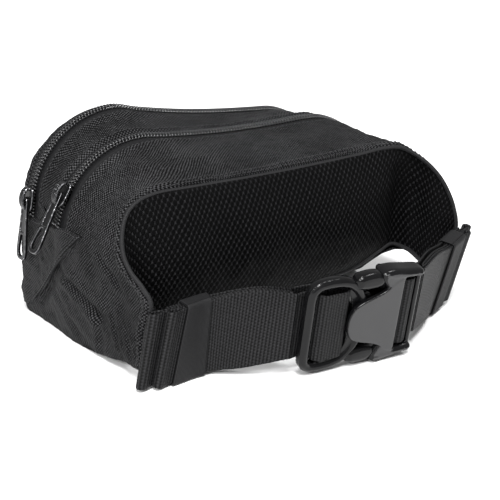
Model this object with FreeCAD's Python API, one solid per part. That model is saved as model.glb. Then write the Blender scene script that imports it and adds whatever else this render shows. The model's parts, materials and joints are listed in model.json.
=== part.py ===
"""Waist pack: a two-compartment pouch with a padded mesh back, two side wings and a buckled belt.

Millimetres, +Z up. The origin lies on the flat underside. +X and -X are the two ends,
-Y is the outer front and +Y is the side that the wearer's back touches.
"""
import FreeCAD
import Part

import math
import os

Vector = FreeCAD.Vector

# ---- driving dimensions -------------------------------------------------------------------

FABRIC = 1.6            # body cloth with its lining
SEAM_HEIGHT = 4.0       # where the underside panel turns up and is sewn to the walls

FRONT_FACE_Y = -60.0
FRONT_ZIP_Y = -45.0
MAIN_ZIP_Y = -4.0
UNDERSIDE_BACK_Y = 22.0
BACK_PANEL_Y = 45.0
DIVIDER_Y = -24.0
DIVIDER_THICK = 1.0
DIVIDER_GAP = 0.4

ZIP_BAND = 8.0          # half width of a zip: coil and both tapes
COIL_HALF = 3.0
COIL_SLIT = 0.6         # half of the gap between the two coils, where the slider's neck runs
COIL_PROUD = 0.9        # how far the coil stands above the cloth
TAPE = 0.9
FRONT_ZIP_END_Z = 60.0
MAIN_ZIP_END_Z = 66.0
FRONT_SLIDER_ANGLE = 8.0     # where each slider stands on its shoulder arc, up from level
MAIN_SLIDER_ANGLE = 31.0
STOP_TURN = 1.0         # length of a zip stop, in degrees of the arc
STOP_CLEAR = 0.2

FOAM = 6.0
MESH = 1.8
PAD_INSET = 4.0
WING_FOAM = 3.5
WING_MESH = 1.5

WEBBING = 40.0
WEBBING_THICK = 1.3
LAYER_GAP = 0.25
LAYERS = 5              # webbing thicknesses in the folded stack
KEEPER_THICK = 1.2
KEEPER_GAP = 0.35
FOLD_REACH = (17.0, 9.0)     # how far the two tail folds poke out past the keeper

SLIDER_LENGTH = 14.0
SLIDER_HALF = 5.2
SLIDER_LIP = 1.5
SLIDER_PLATE = 1.5
SLIDER_CLEAR = 0.25
BAIL_RISE = 3.6
BAIL_STRIP = 1.2
BAIL_HALF = 1.5
BAIL_TURN = 5.5         # half of the bail's length, in degrees of the arc
BAIL_LEG_TURN = 1.3
PULLER_LENGTH = 36.0
PULLER_WIDTH = 9.0
PULLER_NECK = 7.4
PULLER_THICK = 1.8
PULLER_SLOT = 4.2

BUCKLE_YAW = 6.8        # the buckle's long axis against -X, in plan
BUCKLE_LEAN = 12.5      # its top leans away from the pouch
BUCKLE_FOOT = Vector(28.0, 106.0, 1.3)       # lower end of the outer bar
BUCKLE_HALF = 28.0      # half of its height
WINDOW_HALF = 21.0      # half of the strap window
BUCKLE_LENGTH = 69.0
BASE_REACH = 8.0        # base strap past the keeper, into the wing's tip
MITRE_LIMIT = 0.5


# ---- body outlines ------------------------------------------------------------------------

class Outline:
    """One cross-section of the pouch: flat foot, leaning sides, round shoulders, sloping top."""

    def __init__(self, foot, half_width, top, radius, bottom=0.0):
        self.foot = foot                # (+X end, -X end)
        self.half_width = half_width
        self.top = top
        self.radius = radius
        self.bottom = bottom

    def grown(self, amount):
        """The same outline moved outwards, or inwards for a negative amount."""
        return Outline(
            [value + amount for value in self.foot],
            [value + amount for value in self.half_width],
            [value + amount for value in self.top],
            [value + amount for value in self.radius],
            self.bottom - amount,
        )

    def blended(self, other, share):
        """An outline part of the way from this one to another."""
        def mix(first, second):
            return [a + (b - a) * share for a, b in zip(first, second)]
        return Outline(
            mix(self.foot, other.foot),
            mix(self.half_width, other.half_width),
            mix(self.top, other.top),
            mix(self.radius, other.radius),
            self.bottom,
        )

    def shoulder_centre(self, y):
        """Centre of the +X shoulder's arc."""
        return Vector(self.half_width[0] - self.radius[0], y, self.top[0] - self.radius[0])

    def wire(self, y):
        edges = []
        left = (1, self.foot[0], self.half_width[0], self.top[0], self.radius[0])
        right = (-1, self.foot[1], self.half_width[1], self.top[1], self.radius[1])
        points = {}
        for side, foot, half, top, radius in (left, right):
            middle = radius * math.sqrt(0.5)
            points[side] = (
                Vector(side * foot, y, self.bottom),
                Vector(side * half, y, top - radius),
                Vector(side * (half - radius + middle), y, top - radius + middle),
                Vector(side * (half - radius), y, top),
            )
        near, far = points[1], points[-1]
        edges.append(Part.makeLine(far[0], near[0]))
        edges.append(Part.makeLine(near[0], near[1]))
        edges.append(Part.Arc(near[1], near[2], near[3]).toShape())
        edges.append(Part.makeLine(near[3], far[3]))
        edges.append(Part.Arc(far[3], far[2], far[1]).toShape())
        edges.append(Part.makeLine(far[1], far[0]))
        return Part.Wire(edges)


FACE = Outline((97, 91), (96, 95), (104, 88), (46, 38))
FRONT = Outline((100, 94), (99, 99), (114, 98), (52, 44))
MAIN = Outline((100, 94), (106, 105), (107, 101), (52, 46))
BACK = Outline((97, 93), (97, 97), (89, 89), (28, 28), bottom=20.0)
UNDER = MAIN.blended(BACK, (UNDERSIDE_BACK_Y - MAIN_ZIP_Y - ZIP_BAND)
                     / (BACK_PANEL_Y - MAIN_ZIP_Y - ZIP_BAND))

# depth stations, front to back; the outline stays the same across each zip
STATIONS = [
    (FRONT_FACE_Y, FACE),
    (FRONT_ZIP_Y - ZIP_BAND, FRONT),
    (FRONT_ZIP_Y + ZIP_BAND, FRONT),
    (MAIN_ZIP_Y - ZIP_BAND, MAIN),
    (MAIN_ZIP_Y + ZIP_BAND, MAIN),
    (UNDERSIDE_BACK_Y, UNDER),
    (BACK_PANEL_Y, BACK),
]
BIG = 400.0             # larger than the whole pack, for cutting tools


def slab(low, high):
    """A cutting box between two corner points."""
    return Part.makeBox(high.x - low.x, high.y - low.y, high.z - low.z, low)


def above(z):
    return slab(Vector(-BIG, -BIG, z), Vector(BIG, BIG, BIG))


def below(z):
    return slab(Vector(-BIG, -BIG, -BIG), Vector(BIG, BIG, z))


def side(sign):
    """Everything on one side of the middle plane."""
    edge = sorted((0.0, sign * BIG))
    return slab(Vector(edge[0], -BIG, -BIG), Vector(edge[1], BIG, BIG))


def loft(stations, growth=0.0):
    """Solid through the given depth stations."""
    wires = [outline.grown(growth).wire(y) for y, outline in stations]
    return Part.makeLoft(wires, True, True)


def wall(stations, thickness=FABRIC):
    """Open tunnel of cloth through the given stations."""
    outer = loft(stations)
    first, last = stations[0], stations[-1]
    inner = loft([(first[0] - 0.01, first[1])] + stations[1:-1] + [(last[0] + 0.01, last[1])], -thickness)
    return outer.cut(inner)


def arch(outline, y_from, y_to, outer, inner, end_z):
    """Strip of constant section over the shoulders, between two offsets from the cloth surface."""
    def plate(growth):
        face = Part.Face(outline.grown(growth).wire(y_from))
        return face.extrude(Vector(0, y_to - y_from, 0))
    return plate(outer).cut(plate(inner)).common(above(end_z))


def panel(outline, y_from, y_to, growth=0.0):
    """Flat sheet that fills an outline."""
    face = Part.Face(outline.grown(growth).wire(y_from))
    return face.extrude(Vector(0, y_to - y_from, 0))


# ---- pouch --------------------------------------------------------------------------------

def floor_cutter():
    """Space of the underside panel: the flat foot and the slope up to the back."""
    slope = slab(Vector(-BACK.foot[1] + FABRIC, UNDERSIDE_BACK_Y - 1, -1),
                 Vector(BACK.foot[0] - FABRIC, BACK_PANEL_Y + 1, BACK.bottom + SEAM_HEIGHT))
    return below(SEAM_HEIGHT).fuse(slope)


def pouch():
    """Cloth walls of the pouch, one solid for each sewn panel."""
    pieces = {}
    floor = floor_cutter()
    ends = wall(STATIONS[0:5]).cut(floor)
    ends = ends.cut(slab(Vector(-BIG, FRONT_FACE_Y - 1, FRONT_ZIP_END_Z),
                         Vector(BIG, FRONT_ZIP_Y + ZIP_BAND, BIG)))
    ends = ends.cut(slab(Vector(-BIG, FRONT_ZIP_Y + ZIP_BAND, MAIN_ZIP_END_Z), Vector(BIG, BIG, BIG)))
    pieces["underside_panel"] = wall(STATIONS).common(floor)
    pieces["front_panel"] = panel(FACE, FRONT_FACE_Y - FABRIC, FRONT_FACE_Y)
    pieces["front_band"] = wall(STATIONS[0:2]).common(above(FRONT_ZIP_END_Z))
    pieces["middle_gusset"] = wall(STATIONS[2:4]).common(above(MAIN_ZIP_END_Z))
    pieces["rear_gusset"] = wall(STATIONS[4:7]).cut(floor)
    pieces["end_panel_left"] = ends.common(side(1))
    pieces["end_panel_right"] = ends.common(side(-1))
    pieces["divider_panel"] = divider()
    pieces["back_lining"] = panel(BACK, BACK_PANEL_Y, BACK_PANEL_Y + FABRIC)
    return pieces


def divider():
    """Cloth wall between the front pocket and the main compartment."""
    share = (DIVIDER_Y - FRONT_ZIP_Y - ZIP_BAND) / (MAIN_ZIP_Y - FRONT_ZIP_Y - 2 * ZIP_BAND)
    outline = FRONT.blended(MAIN, share)
    return panel(outline, DIVIDER_Y, DIVIDER_Y + DIVIDER_THICK, -FABRIC - DIVIDER_GAP)


def back_pad():
    """Foam behind the wearer's back and the spacer mesh that covers it."""
    foam_from = BACK_PANEL_Y + FABRIC
    mesh_from = foam_from + FOAM
    return {
        "back_foam": panel(BACK, foam_from, mesh_from, -PAD_INSET),
        "back_mesh": panel(BACK, mesh_from, mesh_from + MESH, -PAD_INSET),
    }


# ---- zips ---------------------------------------------------------------------------------

def on_arc(angle, radius):
    """Point of a circle in the XZ plane, at an angle up from +X."""
    turn = math.radians(angle)
    return Vector(radius * math.cos(turn), 0, radius * math.sin(turn))


def ring_sector(centre, r_inner, r_outer, half_width, start, end):
    """Part of a ring about a shoulder's arc centre, between two angles up from +X."""
    outline = Part.Wire([
        Part.makeLine(on_arc(start, r_inner), on_arc(start, r_outer)),
        Part.Arc(on_arc(start, r_outer), on_arc((start + end) / 2, r_outer), on_arc(end, r_outer)).toShape(),
        Part.makeLine(on_arc(end, r_outer), on_arc(end, r_inner)),
        Part.Arc(on_arc(end, r_inner), on_arc((start + end) / 2, r_inner), on_arc(start, r_inner)).toShape(),
    ])
    sector = Part.Face(outline).extrude(Vector(0, 2 * half_width, 0))
    sector.translate(centre - Vector(0, half_width, 0))
    return sector


def slider_body(centre, radius, angle):
    """Upper and lower plates round the coils, a thin neck between them and a bail on top."""
    half_turn = math.degrees(SLIDER_LENGTH / radius) / 2
    start, end = angle - half_turn, angle + half_turn
    top = radius + COIL_PROUD + SLIDER_CLEAR
    under = radius - COIL_PROUD - TAPE - SLIDER_CLEAR
    crown = top + SLIDER_PLATE
    pieces = [
        ring_sector(centre, under - SLIDER_PLATE, under, SLIDER_HALF, start, end),
        ring_sector(centre, under - SLIDER_PLATE / 2, top + SLIDER_PLATE / 2,
                    COIL_SLIT - SLIDER_CLEAR, angle + half_turn / 2, end),
        ring_sector(centre, crown - 0.2, crown + BAIL_RISE, BAIL_HALF, angle - BAIL_TURN, angle + BAIL_TURN),
    ]
    for sign in (1, -1):
        lip = centre + Vector(0, sign * (SLIDER_HALF - SLIDER_LIP / 2), 0)
        pieces.append(ring_sector(lip, radius + SLIDER_CLEAR, top + SLIDER_PLATE / 2,
                                  SLIDER_LIP / 2, start, end))
    body = ring_sector(centre, top, crown, SLIDER_HALF, start, end).multiFuse(pieces)
    eye = ring_sector(centre, crown, crown + BAIL_RISE - BAIL_STRIP, BAIL_HALF + 1,
                      angle - BAIL_TURN + BAIL_LEG_TURN, angle + BAIL_TURN - BAIL_LEG_TURN)
    return body.cut(eye)


def puller_pivot(centre, radius, angle):
    """Axis of the puller's cross bar, in the middle of the bail's eye."""
    crown = radius + COIL_PROUD + SLIDER_CLEAR + SLIDER_PLATE
    return centre + on_arc(angle, crown + (BAIL_RISE - BAIL_STRIP) / 2)


def puller_plate():
    """Stamped puller hanging down from its cross bar: an eye for the bail and a long finger slot."""
    half, neck = PULLER_WIDTH / 2, PULLER_NECK / 2
    low = half - PULLER_LENGTH
    outline = Part.Wire([
        Part.makeLine(Vector(0, -neck, 0), Vector(0, -half, low)),
        Part.Arc(Vector(0, -half, low), Vector(0, 0, -PULLER_LENGTH), Vector(0, half, low)).toShape(),
        Part.makeLine(Vector(0, half, low), Vector(0, neck, 0)),
        Part.makeLine(Vector(0, neck, 0), Vector(0, -neck, 0)),
    ])
    plate = Part.Face(outline).extrude(Vector(PULLER_THICK, 0, 0))
    plate.translate(Vector(-PULLER_THICK / 2, 0, 0))
    bar = Part.makeCylinder(PULLER_THICK / 2, PULLER_NECK, Vector(0, -neck, 0), Vector(0, 1, 0))
    eye_low = -PULLER_LENGTH * 0.2
    slot_high = eye_low - PULLER_THICK * 1.2
    eye = Part.makeBox(PULLER_THICK * 2, PULLER_SLOT, -eye_low - PULLER_THICK / 5,
                       Vector(-PULLER_THICK, -PULLER_SLOT / 2, eye_low))
    slot = Part.makeBox(PULLER_THICK * 2, PULLER_SLOT, slot_high - low,
                        Vector(-PULLER_THICK, -PULLER_SLOT / 2, low))
    end = Part.makeCylinder(PULLER_SLOT / 2, PULLER_THICK * 2, Vector(-PULLER_THICK, 0, low), Vector(1, 0, 0))
    return plate.cut(eye).cut(slot).cut(end).fuse(bar)


def hanging_puller(centre, radius, angle):
    """The puller lies along the slider's top, which is where it comes to rest."""
    puller = puller_plate()
    puller.rotate(Vector(0, 0, 0), Vector(0, 1, 0), -angle)
    puller.translate(puller_pivot(centre, radius, angle))
    return puller


def arc_angle(outline, z):
    """Angle on the +X shoulder's arc at a height, a little under level where the wall is straight."""
    radius = outline.radius[0]
    return math.degrees(math.asin((z - outline.shoulder_centre(0).z) / radius))


def zip_parts(name, outline, zip_y, end_z, slider_angle):
    """Tapes, two coils, end stops, a slider and its puller."""
    tapes = []
    coils = []
    for sign in (1, -1):
        slit, edge, outside = (zip_y + sign * reach for reach in (COIL_SLIT, COIL_HALF, ZIP_BAND))
        tapes.append(arch(outline, edge, outside, 0.0, -TAPE, end_z))
        coils.append(arch(outline, slit, edge, COIL_PROUD, -COIL_PROUD - TAPE, end_z))
    centre = outline.shoulder_centre(zip_y)
    radius = outline.radius[0]
    stop_start = arc_angle(outline, end_z) + STOP_TURN
    stop_foot = radius + COIL_PROUD + STOP_CLEAR
    stop = ring_sector(centre, stop_foot, stop_foot + SLIDER_PLATE, COIL_HALF,
                       stop_start, stop_start + STOP_TURN)
    return {
        name + "_zip_tapes": Part.makeCompound(tapes),
        name + "_zip_coils": Part.makeCompound(coils),
        name + "_zip_stop": stop,
        name + "_zip_slider": slider_body(centre, radius, slider_angle),
        name + "_zip_puller": hanging_puller(centre, radius, slider_angle),
    }


# ---- wings --------------------------------------------------------------------------------

# outer face in plan, then the heights of the hem and of the top edge
LEFT_WING = [
    (Vector(101, 47.0, 0), 12, 80),
    (Vector(104, 56.0, 0), 9, 66),
    (Vector(104, 64.0, 0), 8, 57),
    (Vector(101.5, 70.0, 0), 9, 49),
]
RIGHT_WING = [
    (Vector(-101, 47.0, 0), 20, 82),
    (Vector(-107, 54.0, 0), 18, 78),
    (Vector(-111, 60.0, 0), 14, 68),
    (Vector(-112.5, 65.5, 0), 10, 56),
]


def plan_normals(points):
    """Unit vectors square to a plan path, on its right-hand side."""
    normals = []
    for index in range(len(points)):
        before = points[max(index - 1, 0)]
        after = points[min(index + 1, len(points) - 1)]
        along = Vector(after.x - before.x, after.y - before.y, 0).normalize()
        normals.append(Vector(along.y, -along.x, 0))
    return normals


def wing_layer(stations, sign, outer, inner):
    """One layer of a wing, between two depths in from its outer face."""
    normals = plan_normals([station[0] for station in stations])
    wires = []
    for (point, low, high), normal in zip(stations, normals):
        face = point - normal * sign * outer
        back = point - normal * sign * inner
        corners = [
            Vector(face.x, face.y, low), Vector(back.x, back.y, low),
            Vector(back.x, back.y, high), Vector(face.x, face.y, high),
        ]
        wires.append(Part.makePolygon(corners + corners[:1]))
    return Part.makeLoft(wires, True, True)


def wings():
    """Cloth outside, foam between and spacer mesh against the wearer, on both sides."""
    pieces = {}
    foam_to = FABRIC + WING_FOAM
    for name, stations, sign in (("left", LEFT_WING, 1), ("right", RIGHT_WING, -1)):
        pieces["wing_fabric_" + name] = wing_layer(stations, sign, 0, FABRIC)
        pieces["wing_foam_" + name] = wing_layer(stations, sign, FABRIC, foam_to)
        pieces["wing_mesh_" + name] = wing_layer(stations, sign, foam_to, foam_to + WING_MESH)
    return pieces


# ---- buckle frame of reference and strap routes ---------------------------------------------

YAW = math.radians(BUCKLE_YAW)
LEAN = math.radians(BUCKLE_LEAN)
LEVEL = Vector(math.sin(YAW), math.cos(YAW), 0)
BUCKLE_U = Vector(-math.cos(YAW), math.sin(YAW), 0)                      # along the belt
BUCKLE_V = Vector(0, 0, 1) * math.cos(LEAN) + LEVEL * math.sin(LEAN)     # up the buckle
BUCKLE_W = LEVEL * math.cos(LEAN) - Vector(0, 0, 1) * math.sin(LEAN)     # out of its face
BUCKLE_ORIGIN = BUCKLE_FOOT + BUCKLE_V * BUCKLE_HALF


def buckle_point(u, v, w):
    return BUCKLE_ORIGIN + BUCKLE_U * u + BUCKLE_V * v + BUCKLE_W * w


def placed(shape):
    """A shape made in the buckle's u, v, w moved to where the buckle is."""
    rows = zip(BUCKLE_U, BUCKLE_V, BUCKLE_W, BUCKLE_ORIGIN)
    values = [value for row in rows for value in row]
    moved = shape.copy()
    moved.Placement = FreeCAD.Placement(FreeCAD.Matrix(*values, 0, 0, 0, 1))
    return moved


class Route:
    """A strap's route from the buckle to the wing: feet of its inner face and lean of its cut ends.

    The strap keeps its width square to its own length whichever way the ends lean.
    """

    def __init__(self, stations):
        self.foot = [foot for foot, up in stations]
        self.up = []
        self.reach = [0.0]
        for before, after in zip(self.foot, self.foot[1:]):
            self.reach.append(self.reach[-1] + (after - before).Length)
        self.out = []
        for index, (foot, up) in enumerate(stations):
            before = self.foot[max(index - 1, 0)]
            after = self.foot[min(index + 1, len(self.foot) - 1)]
            along = (after - before).normalize()
            across = up - along * up.dot(along)
            self.up.append(up * (1 / across.Length))
            normal = along.cross(across).normalize()
            self.out.append(normal if normal.y > 0 else normal * -1)
        self.up[0] = stations[0][1]
        self.out[0] = BUCKLE_W

    def at(self, distance):
        """Foot, up and out at a distance along the route from the buckle."""
        index = 0
        while index < len(self.foot) - 2 and distance > self.reach[index + 1]:
            index += 1
        share = (distance - self.reach[index]) / (self.reach[index + 1] - self.reach[index])

        def mix(values):
            return values[index] * (1 - share) + values[index + 1] * share
        return mix(self.foot), mix(self.up), mix(self.out).normalize()

    def piece(self, start, end, low, high, inner, outer):
        """Solid between two distances, two heights up the strap and two depths out of it."""
        stops = [start] + [value for value in self.reach if start < value < end] + [end]
        wires = []
        for stop in stops:
            foot, up, out = self.at(stop)
            corners = [
                foot + up * low + out * inner, foot + up * low + out * outer,
                foot + up * high + out * outer, foot + up * high + out * inner,
            ]
            wires.append(Part.makePolygon(corners + corners[:1]))
        return Part.makeLoft(wires, True, True)

    def layer(self, number, start, end):
        """One thickness of webbing; number 0 is the innermost."""
        inner = number * (WEBBING_THICK + LAYER_GAP)
        return self.piece(start, end, 0, WEBBING, inner, inner + WEBBING_THICK)

    def turn(self, number, start, end):
        """Where the webbing doubles back from one layer to the next."""
        inner = number * (WEBBING_THICK + LAYER_GAP)
        return self.piece(start, end, 0, WEBBING, inner, inner + 2 * WEBBING_THICK + LAYER_GAP)


STACK = LAYERS * WEBBING_THICK + (LAYERS - 1) * LAYER_GAP
BAR_BACK = -2.4         # back of the bars that the strap passes behind
STACK_BACK = BAR_BACK - LAYER_GAP - STACK
LOOP_TAIL = 3.6         # straight length of the strap loop beyond a bar
STRAP_START = 0.4       # gap between the loop's ends and the stack

LEFT_ROUTE = Route([
    (buckle_point(-LOOP_TAIL - STRAP_START, -WEBBING / 2, STACK_BACK), BUCKLE_V * 1.0),
    (Vector(46, 85.5, 4.5), Vector(-0.14, 0.05, 1)),
    (Vector(64, 72.5, 2.3), Vector(-0.08, 0.05, 1)),
    (Vector(88, 72.9, 2.1), Vector(-0.22, 0.05, 1)),
    (Vector(112, 73.3, 1.9), Vector(-0.16, 0.05, 1)),
])
RIGHT_ROUTE = Route([
    (buckle_point(BUCKLE_LENGTH + LOOP_TAIL + STRAP_START, -WEBBING / 2, STACK_BACK), BUCKLE_V * 1.0),
    (Vector(-62, 93.5, 7.0), Vector(-0.15, 0.08, 1)),
    (Vector(-77, 81.5, 4.2), Vector(-0.32, 0.06, 1)),
    (Vector(-92, 74.3, 4.3), Vector(-0.36, 0.04, 1)),
    (Vector(-107, 67.1, 4.4), Vector(-0.36, 0.04, 1)),
])
LEFT_KEEPER = (2, 3)    # the keeper lies between these two stations of its route
RIGHT_KEEPER = (2, 3)


# ---- belt ---------------------------------------------------------------------------------

def belt_side(name, route, keeper):
    """Base strap, folded stack, tail folds and elastic keeper of one side."""
    start, end = route.reach[keeper[0]], route.reach[keeper[1]]
    clear = KEEPER_GAP
    long_fold, short_fold = (end + reach for reach in FOLD_REACH)
    span_end = start - 1.0
    turn_length = 2 * WEBBING_THICK
    span = [
        route.layer(0, 0, span_end),
        route.layer(2, turn_length, span_end).fuse(route.layer(3, turn_length, span_end))
        .fuse(route.turn(2, 0, turn_length)),
        route.layer(4, 0, span_end),
    ]
    tail = [
        route.layer(1, start, long_fold - turn_length).fuse(route.layer(2, span_end + clear, long_fold - turn_length))
        .fuse(route.turn(1, long_fold - turn_length, long_fold)),
        route.layer(3, span_end + clear, short_fold - turn_length)
        .fuse(route.layer(4, span_end + clear, short_fold - turn_length))
        .fuse(route.turn(3, short_fold - turn_length, short_fold)),
    ]
    inner, outer = -clear, STACK + clear
    hole = route.piece(start + 0.5, end - 0.5, -clear, WEBBING + clear, inner, outer)
    ring = route.piece(start + 1, end - 1, -clear - KEEPER_THICK, WEBBING + clear + KEEPER_THICK,
                       inner - KEEPER_THICK, outer + KEEPER_THICK)
    return {
        "webbing_span_" + name: Part.makeCompound(span),
        "webbing_tail_" + name: Part.makeCompound(tail),
        "webbing_base_" + name: route.layer(0, span_end + clear, end + BASE_REACH),
        "keeper_" + name: ring.cut(hole),
    }


def ribbon(points, thickness, width):
    """Strap that follows a path in the buckle's u-w plane, mitred at each point."""
    ups, downs = [], []
    for index, (u, w) in enumerate(points):
        before = points[max(index - 1, 0)]
        after = points[min(index + 1, len(points) - 1)]
        first = Vector(u - before[0], w - before[1], 0)
        second = Vector(after[0] - u, after[1] - w, 0)
        first = first if first.Length else second
        second = second if second.Length else first
        bisector = (first.normalize() + second.normalize()).normalize()
        normal = Vector(-bisector.y, bisector.x, 0)
        reach = thickness / 2 / max(bisector.dot(second), MITRE_LIMIT)
        ups.append(Vector(u, -width / 2, w) + Vector(normal.x, 0, normal.y) * reach)
        downs.append(Vector(u, -width / 2, w) - Vector(normal.x, 0, normal.y) * reach)
    outline = ups + downs[::-1]
    return Part.Face(Part.makePolygon(outline + outline[:1])).extrude(Vector(0, width, 0))


def box_uvw(u_from, u_to, v_from, v_to, w_from, w_to):
    return Part.makeBox(u_to - u_from, v_to - v_from, w_to - w_from, Vector(u_from, v_from, w_from))


def rounded(shape, radius, chosen):
    """Fillet the edges that a test picks out."""
    edges = [edge for edge in shape.Edges if chosen(edge)]
    return shape.makeFillet(radius, edges)


def corner_edge(edge):
    """An edge square to the buckle's face."""
    direction = edge.tangentAt(edge.FirstParameter)
    return abs(direction.z) > 0.99


MALE_THICK = 3.3        # half thickness of the male frame
BAR_END = 4.5           # inner edge of the outer bar
CENTRE_BAR = (11.5, 15.5)
BAR_HALF = 1.5          # half thickness of the bars that carry the loops
HEAD = (20.5, 26.0)
TONGUE_END = 47.0
TONGUE_HALF = 2.2
LOOP_FRONT = 3.2        # how far the strap's loop stands out over the centre bar


def strap_loop(bars, window, tail_end, direction):
    """Webbing that comes from behind the outer bar, over the inner bar and back again."""
    near, far = bars
    front = BAR_BACK - LAYER_GAP - WEBBING_THICK / 2
    back = STACK_BACK + WEBBING_THICK / 2
    path = [
        (tail_end, front),
        (near - direction * (window - 0.8), front),
        (near - direction * 1.5, 0.8),
        (near, LOOP_FRONT),
        (far, LOOP_FRONT),
        (far + direction * 1.9, 0.0),
        (far + direction * 0.5, -4.2),
        (near - direction * 3.5, back),
        (tail_end, back),
    ]
    return ribbon(path, WEBBING_THICK, WEBBING)


def buckle_male():
    """Frame with two bars for the strap, a head that carries the prongs and a guide tongue."""
    frame = box_uvw(0, HEAD[1], -BUCKLE_HALF, BUCKLE_HALF, -MALE_THICK, MALE_THICK)
    frame = rounded(frame, 7.0, corner_edge)
    frame = frame.makeFillet(1.4, frame.Edges)
    window = box_uvw(BAR_END, HEAD[0], -WINDOW_HALF, WINDOW_HALF, -20, 20)
    behind_bar = box_uvw(-1, BAR_END + 1, -WINDOW_HALF, WINDOW_HALF, -20, BAR_BACK)
    bar = box_uvw(CENTRE_BAR[0], CENTRE_BAR[1], -WINDOW_HALF - 1, WINDOW_HALF + 1, -BAR_HALF, BAR_HALF)
    tongue = box_uvw(HEAD[1] - 2, TONGUE_END, -TONGUE_HALF, TONGUE_HALF, -1.5, 1.5)
    return frame.cut(window).cut(behind_bar).fuse(bar).fuse(tongue)


PRONG_ROOT = (28.6, 7.5)     # where each prong bends
PRONG_NECK = 1.9
PRONG_HALF = 2.6        # half thickness of a prong


def prong(sign):
    """Springy side arm whose shoulder catches behind the female's pillar."""
    points = [
        (28.6, 5.6), (28.6, 9.4), (31.9, 9.6), (32.1, 12.2), (34.0, 20.5), (37.0, 24.0), (42.5, 24.0),
        (46.3, 19.5), (47.3, 15.6), (50.5, 12.0), (49.0, 9.0), (44.0, 13.5), (38.0, 12.5), (33.5, 6.4),
    ]
    corners = [Vector(u, sign * v, -PRONG_HALF) for u, v in points]
    arm = Part.Face(Part.makePolygon(corners + corners[:1])).extrude(Vector(0, 0, 2 * PRONG_HALF))
    root = Vector(PRONG_ROOT[0], sign * PRONG_ROOT[1], -PRONG_HALF)
    return arm.fuse(Part.makeCylinder(PRONG_NECK, 2 * PRONG_HALF, root))


NOSE = 27.0             # front of the female's mouth
PLATE = (3.1, 5.6)      # depths of its front plate; the back plate mirrors it
PLATE_END = 57.0
CHEEK_START = 48.0      # where the closed rear of the female begins
CHEEK_WALL = 3.2
END_BAR = (65.0, 69.0)
INNER_BAR = (59.6, 62.6)


def plate_outline(w):
    """Convex nose, diagonal flanks that leave the prongs open, square rear."""
    half = BUCKLE_HALF - 1.0
    upper = [Vector(30.5, 10.5, w), Vector(CHEEK_START - 1.5, 17.5, w), Vector(CHEEK_START, half - 3, w),
             Vector(CHEEK_START + 3, half, w), Vector(PLATE_END, half, w)]
    lower = [Vector(point.x, -point.y, w) for point in upper[::-1]]
    edges = [Part.makeLine(first, second) for first, second in zip(upper, upper[1:])]
    edges.append(Part.makeLine(upper[-1], lower[0]))
    edges += [Part.makeLine(first, second) for first, second in zip(lower, lower[1:])]
    edges.append(Part.Arc(lower[-1], Vector(NOSE, 0, w), upper[0]).toShape())
    return Part.Wire(edges)


def buckle_female():
    """Two plates joined by cheeks and pillars, an inner bar and an end bar for the strap."""
    depth = PLATE[1] - PLATE[0]
    half = BUCKLE_HALF - 1.0
    front = Part.Face(plate_outline(PLATE[0])).extrude(Vector(0, 0, depth))
    back = Part.Face(plate_outline(-PLATE[1])).extrude(Vector(0, 0, depth))
    joined = [back]
    for sign in (1, -1):
        low, high = sorted((sign * (half - CHEEK_WALL), sign * half))
        joined.append(box_uvw(CHEEK_START + 2.5, END_BAR[1], low, high, -PLATE[0] - 0.5, PLATE[0] + 0.5))
        low, high = sorted((sign * 10.6, sign * 12.4))
        joined.append(box_uvw(30.6, 31.7, low, high, -PLATE[0] - 0.5, PLATE[0] + 0.5))
    joined.append(box_uvw(PLATE_END - 4.5, PLATE_END - 2.5, -half + 1, half - 1, -PLATE[0] - 0.5, PLATE[0] + 0.5))
    joined.append(box_uvw(END_BAR[0], END_BAR[1], -half + 1, half - 1, BAR_BACK, -BAR_BACK))
    joined.append(box_uvw(INNER_BAR[0], INNER_BAR[1], -half + 1, half - 1, -BAR_HALF, BAR_HALF))
    body = front.multiFuse(joined)
    throat = box_uvw(PLATE_END - 2.4, INNER_BAR[0] - 0.1, -WINDOW_HALF, WINDOW_HALF, -20, PLATE[0] + 0.2)
    return body.cut(throat)


def belt():
    """Both sides of the belt, the buckle's pieces and the strap loops round its bars."""
    pieces = belt_side("left", LEFT_ROUTE, LEFT_KEEPER)
    pieces.update(belt_side("right", RIGHT_ROUTE, RIGHT_KEEPER))
    pieces["buckle_male"] = placed(buckle_male())
    pieces["buckle_prong_upper"] = placed(prong(1))
    pieces["buckle_prong_lower"] = placed(prong(-1))
    pieces["buckle_female"] = placed(buckle_female())
    pieces["webbing_loop_left"] = placed(strap_loop(CENTRE_BAR, CENTRE_BAR[0] - BAR_END, -LOOP_TAIL, 1))
    pieces["webbing_loop_right"] = placed(strap_loop(INNER_BAR[::-1], END_BAR[0] - INNER_BAR[1],
                                                   BUCKLE_LENGTH + LOOP_TAIL, -1))
    return pieces


# ---- the whole pack -------------------------------------------------------------------------

def waist_pack():
    pieces = pouch()
    pieces.update(back_pad())
    pieces.update(zip_parts("front", FRONT, FRONT_ZIP_Y, FRONT_ZIP_END_Z, FRONT_SLIDER_ANGLE))
    pieces.update(zip_parts("main", MAIN, MAIN_ZIP_Y, MAIN_ZIP_END_Z, MAIN_SLIDER_ANGLE))
    pieces.update(wings())
    pieces.update(belt())
    return pieces


def main():
    os.makedirs("parts", exist_ok=True)
    for name, shape in waist_pack().items():
        shape.exportStep("parts/" + name + ".step")


main()
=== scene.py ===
import json
import math

import bpy
import bmesh
import numpy as np
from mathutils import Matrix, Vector, noise

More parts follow.
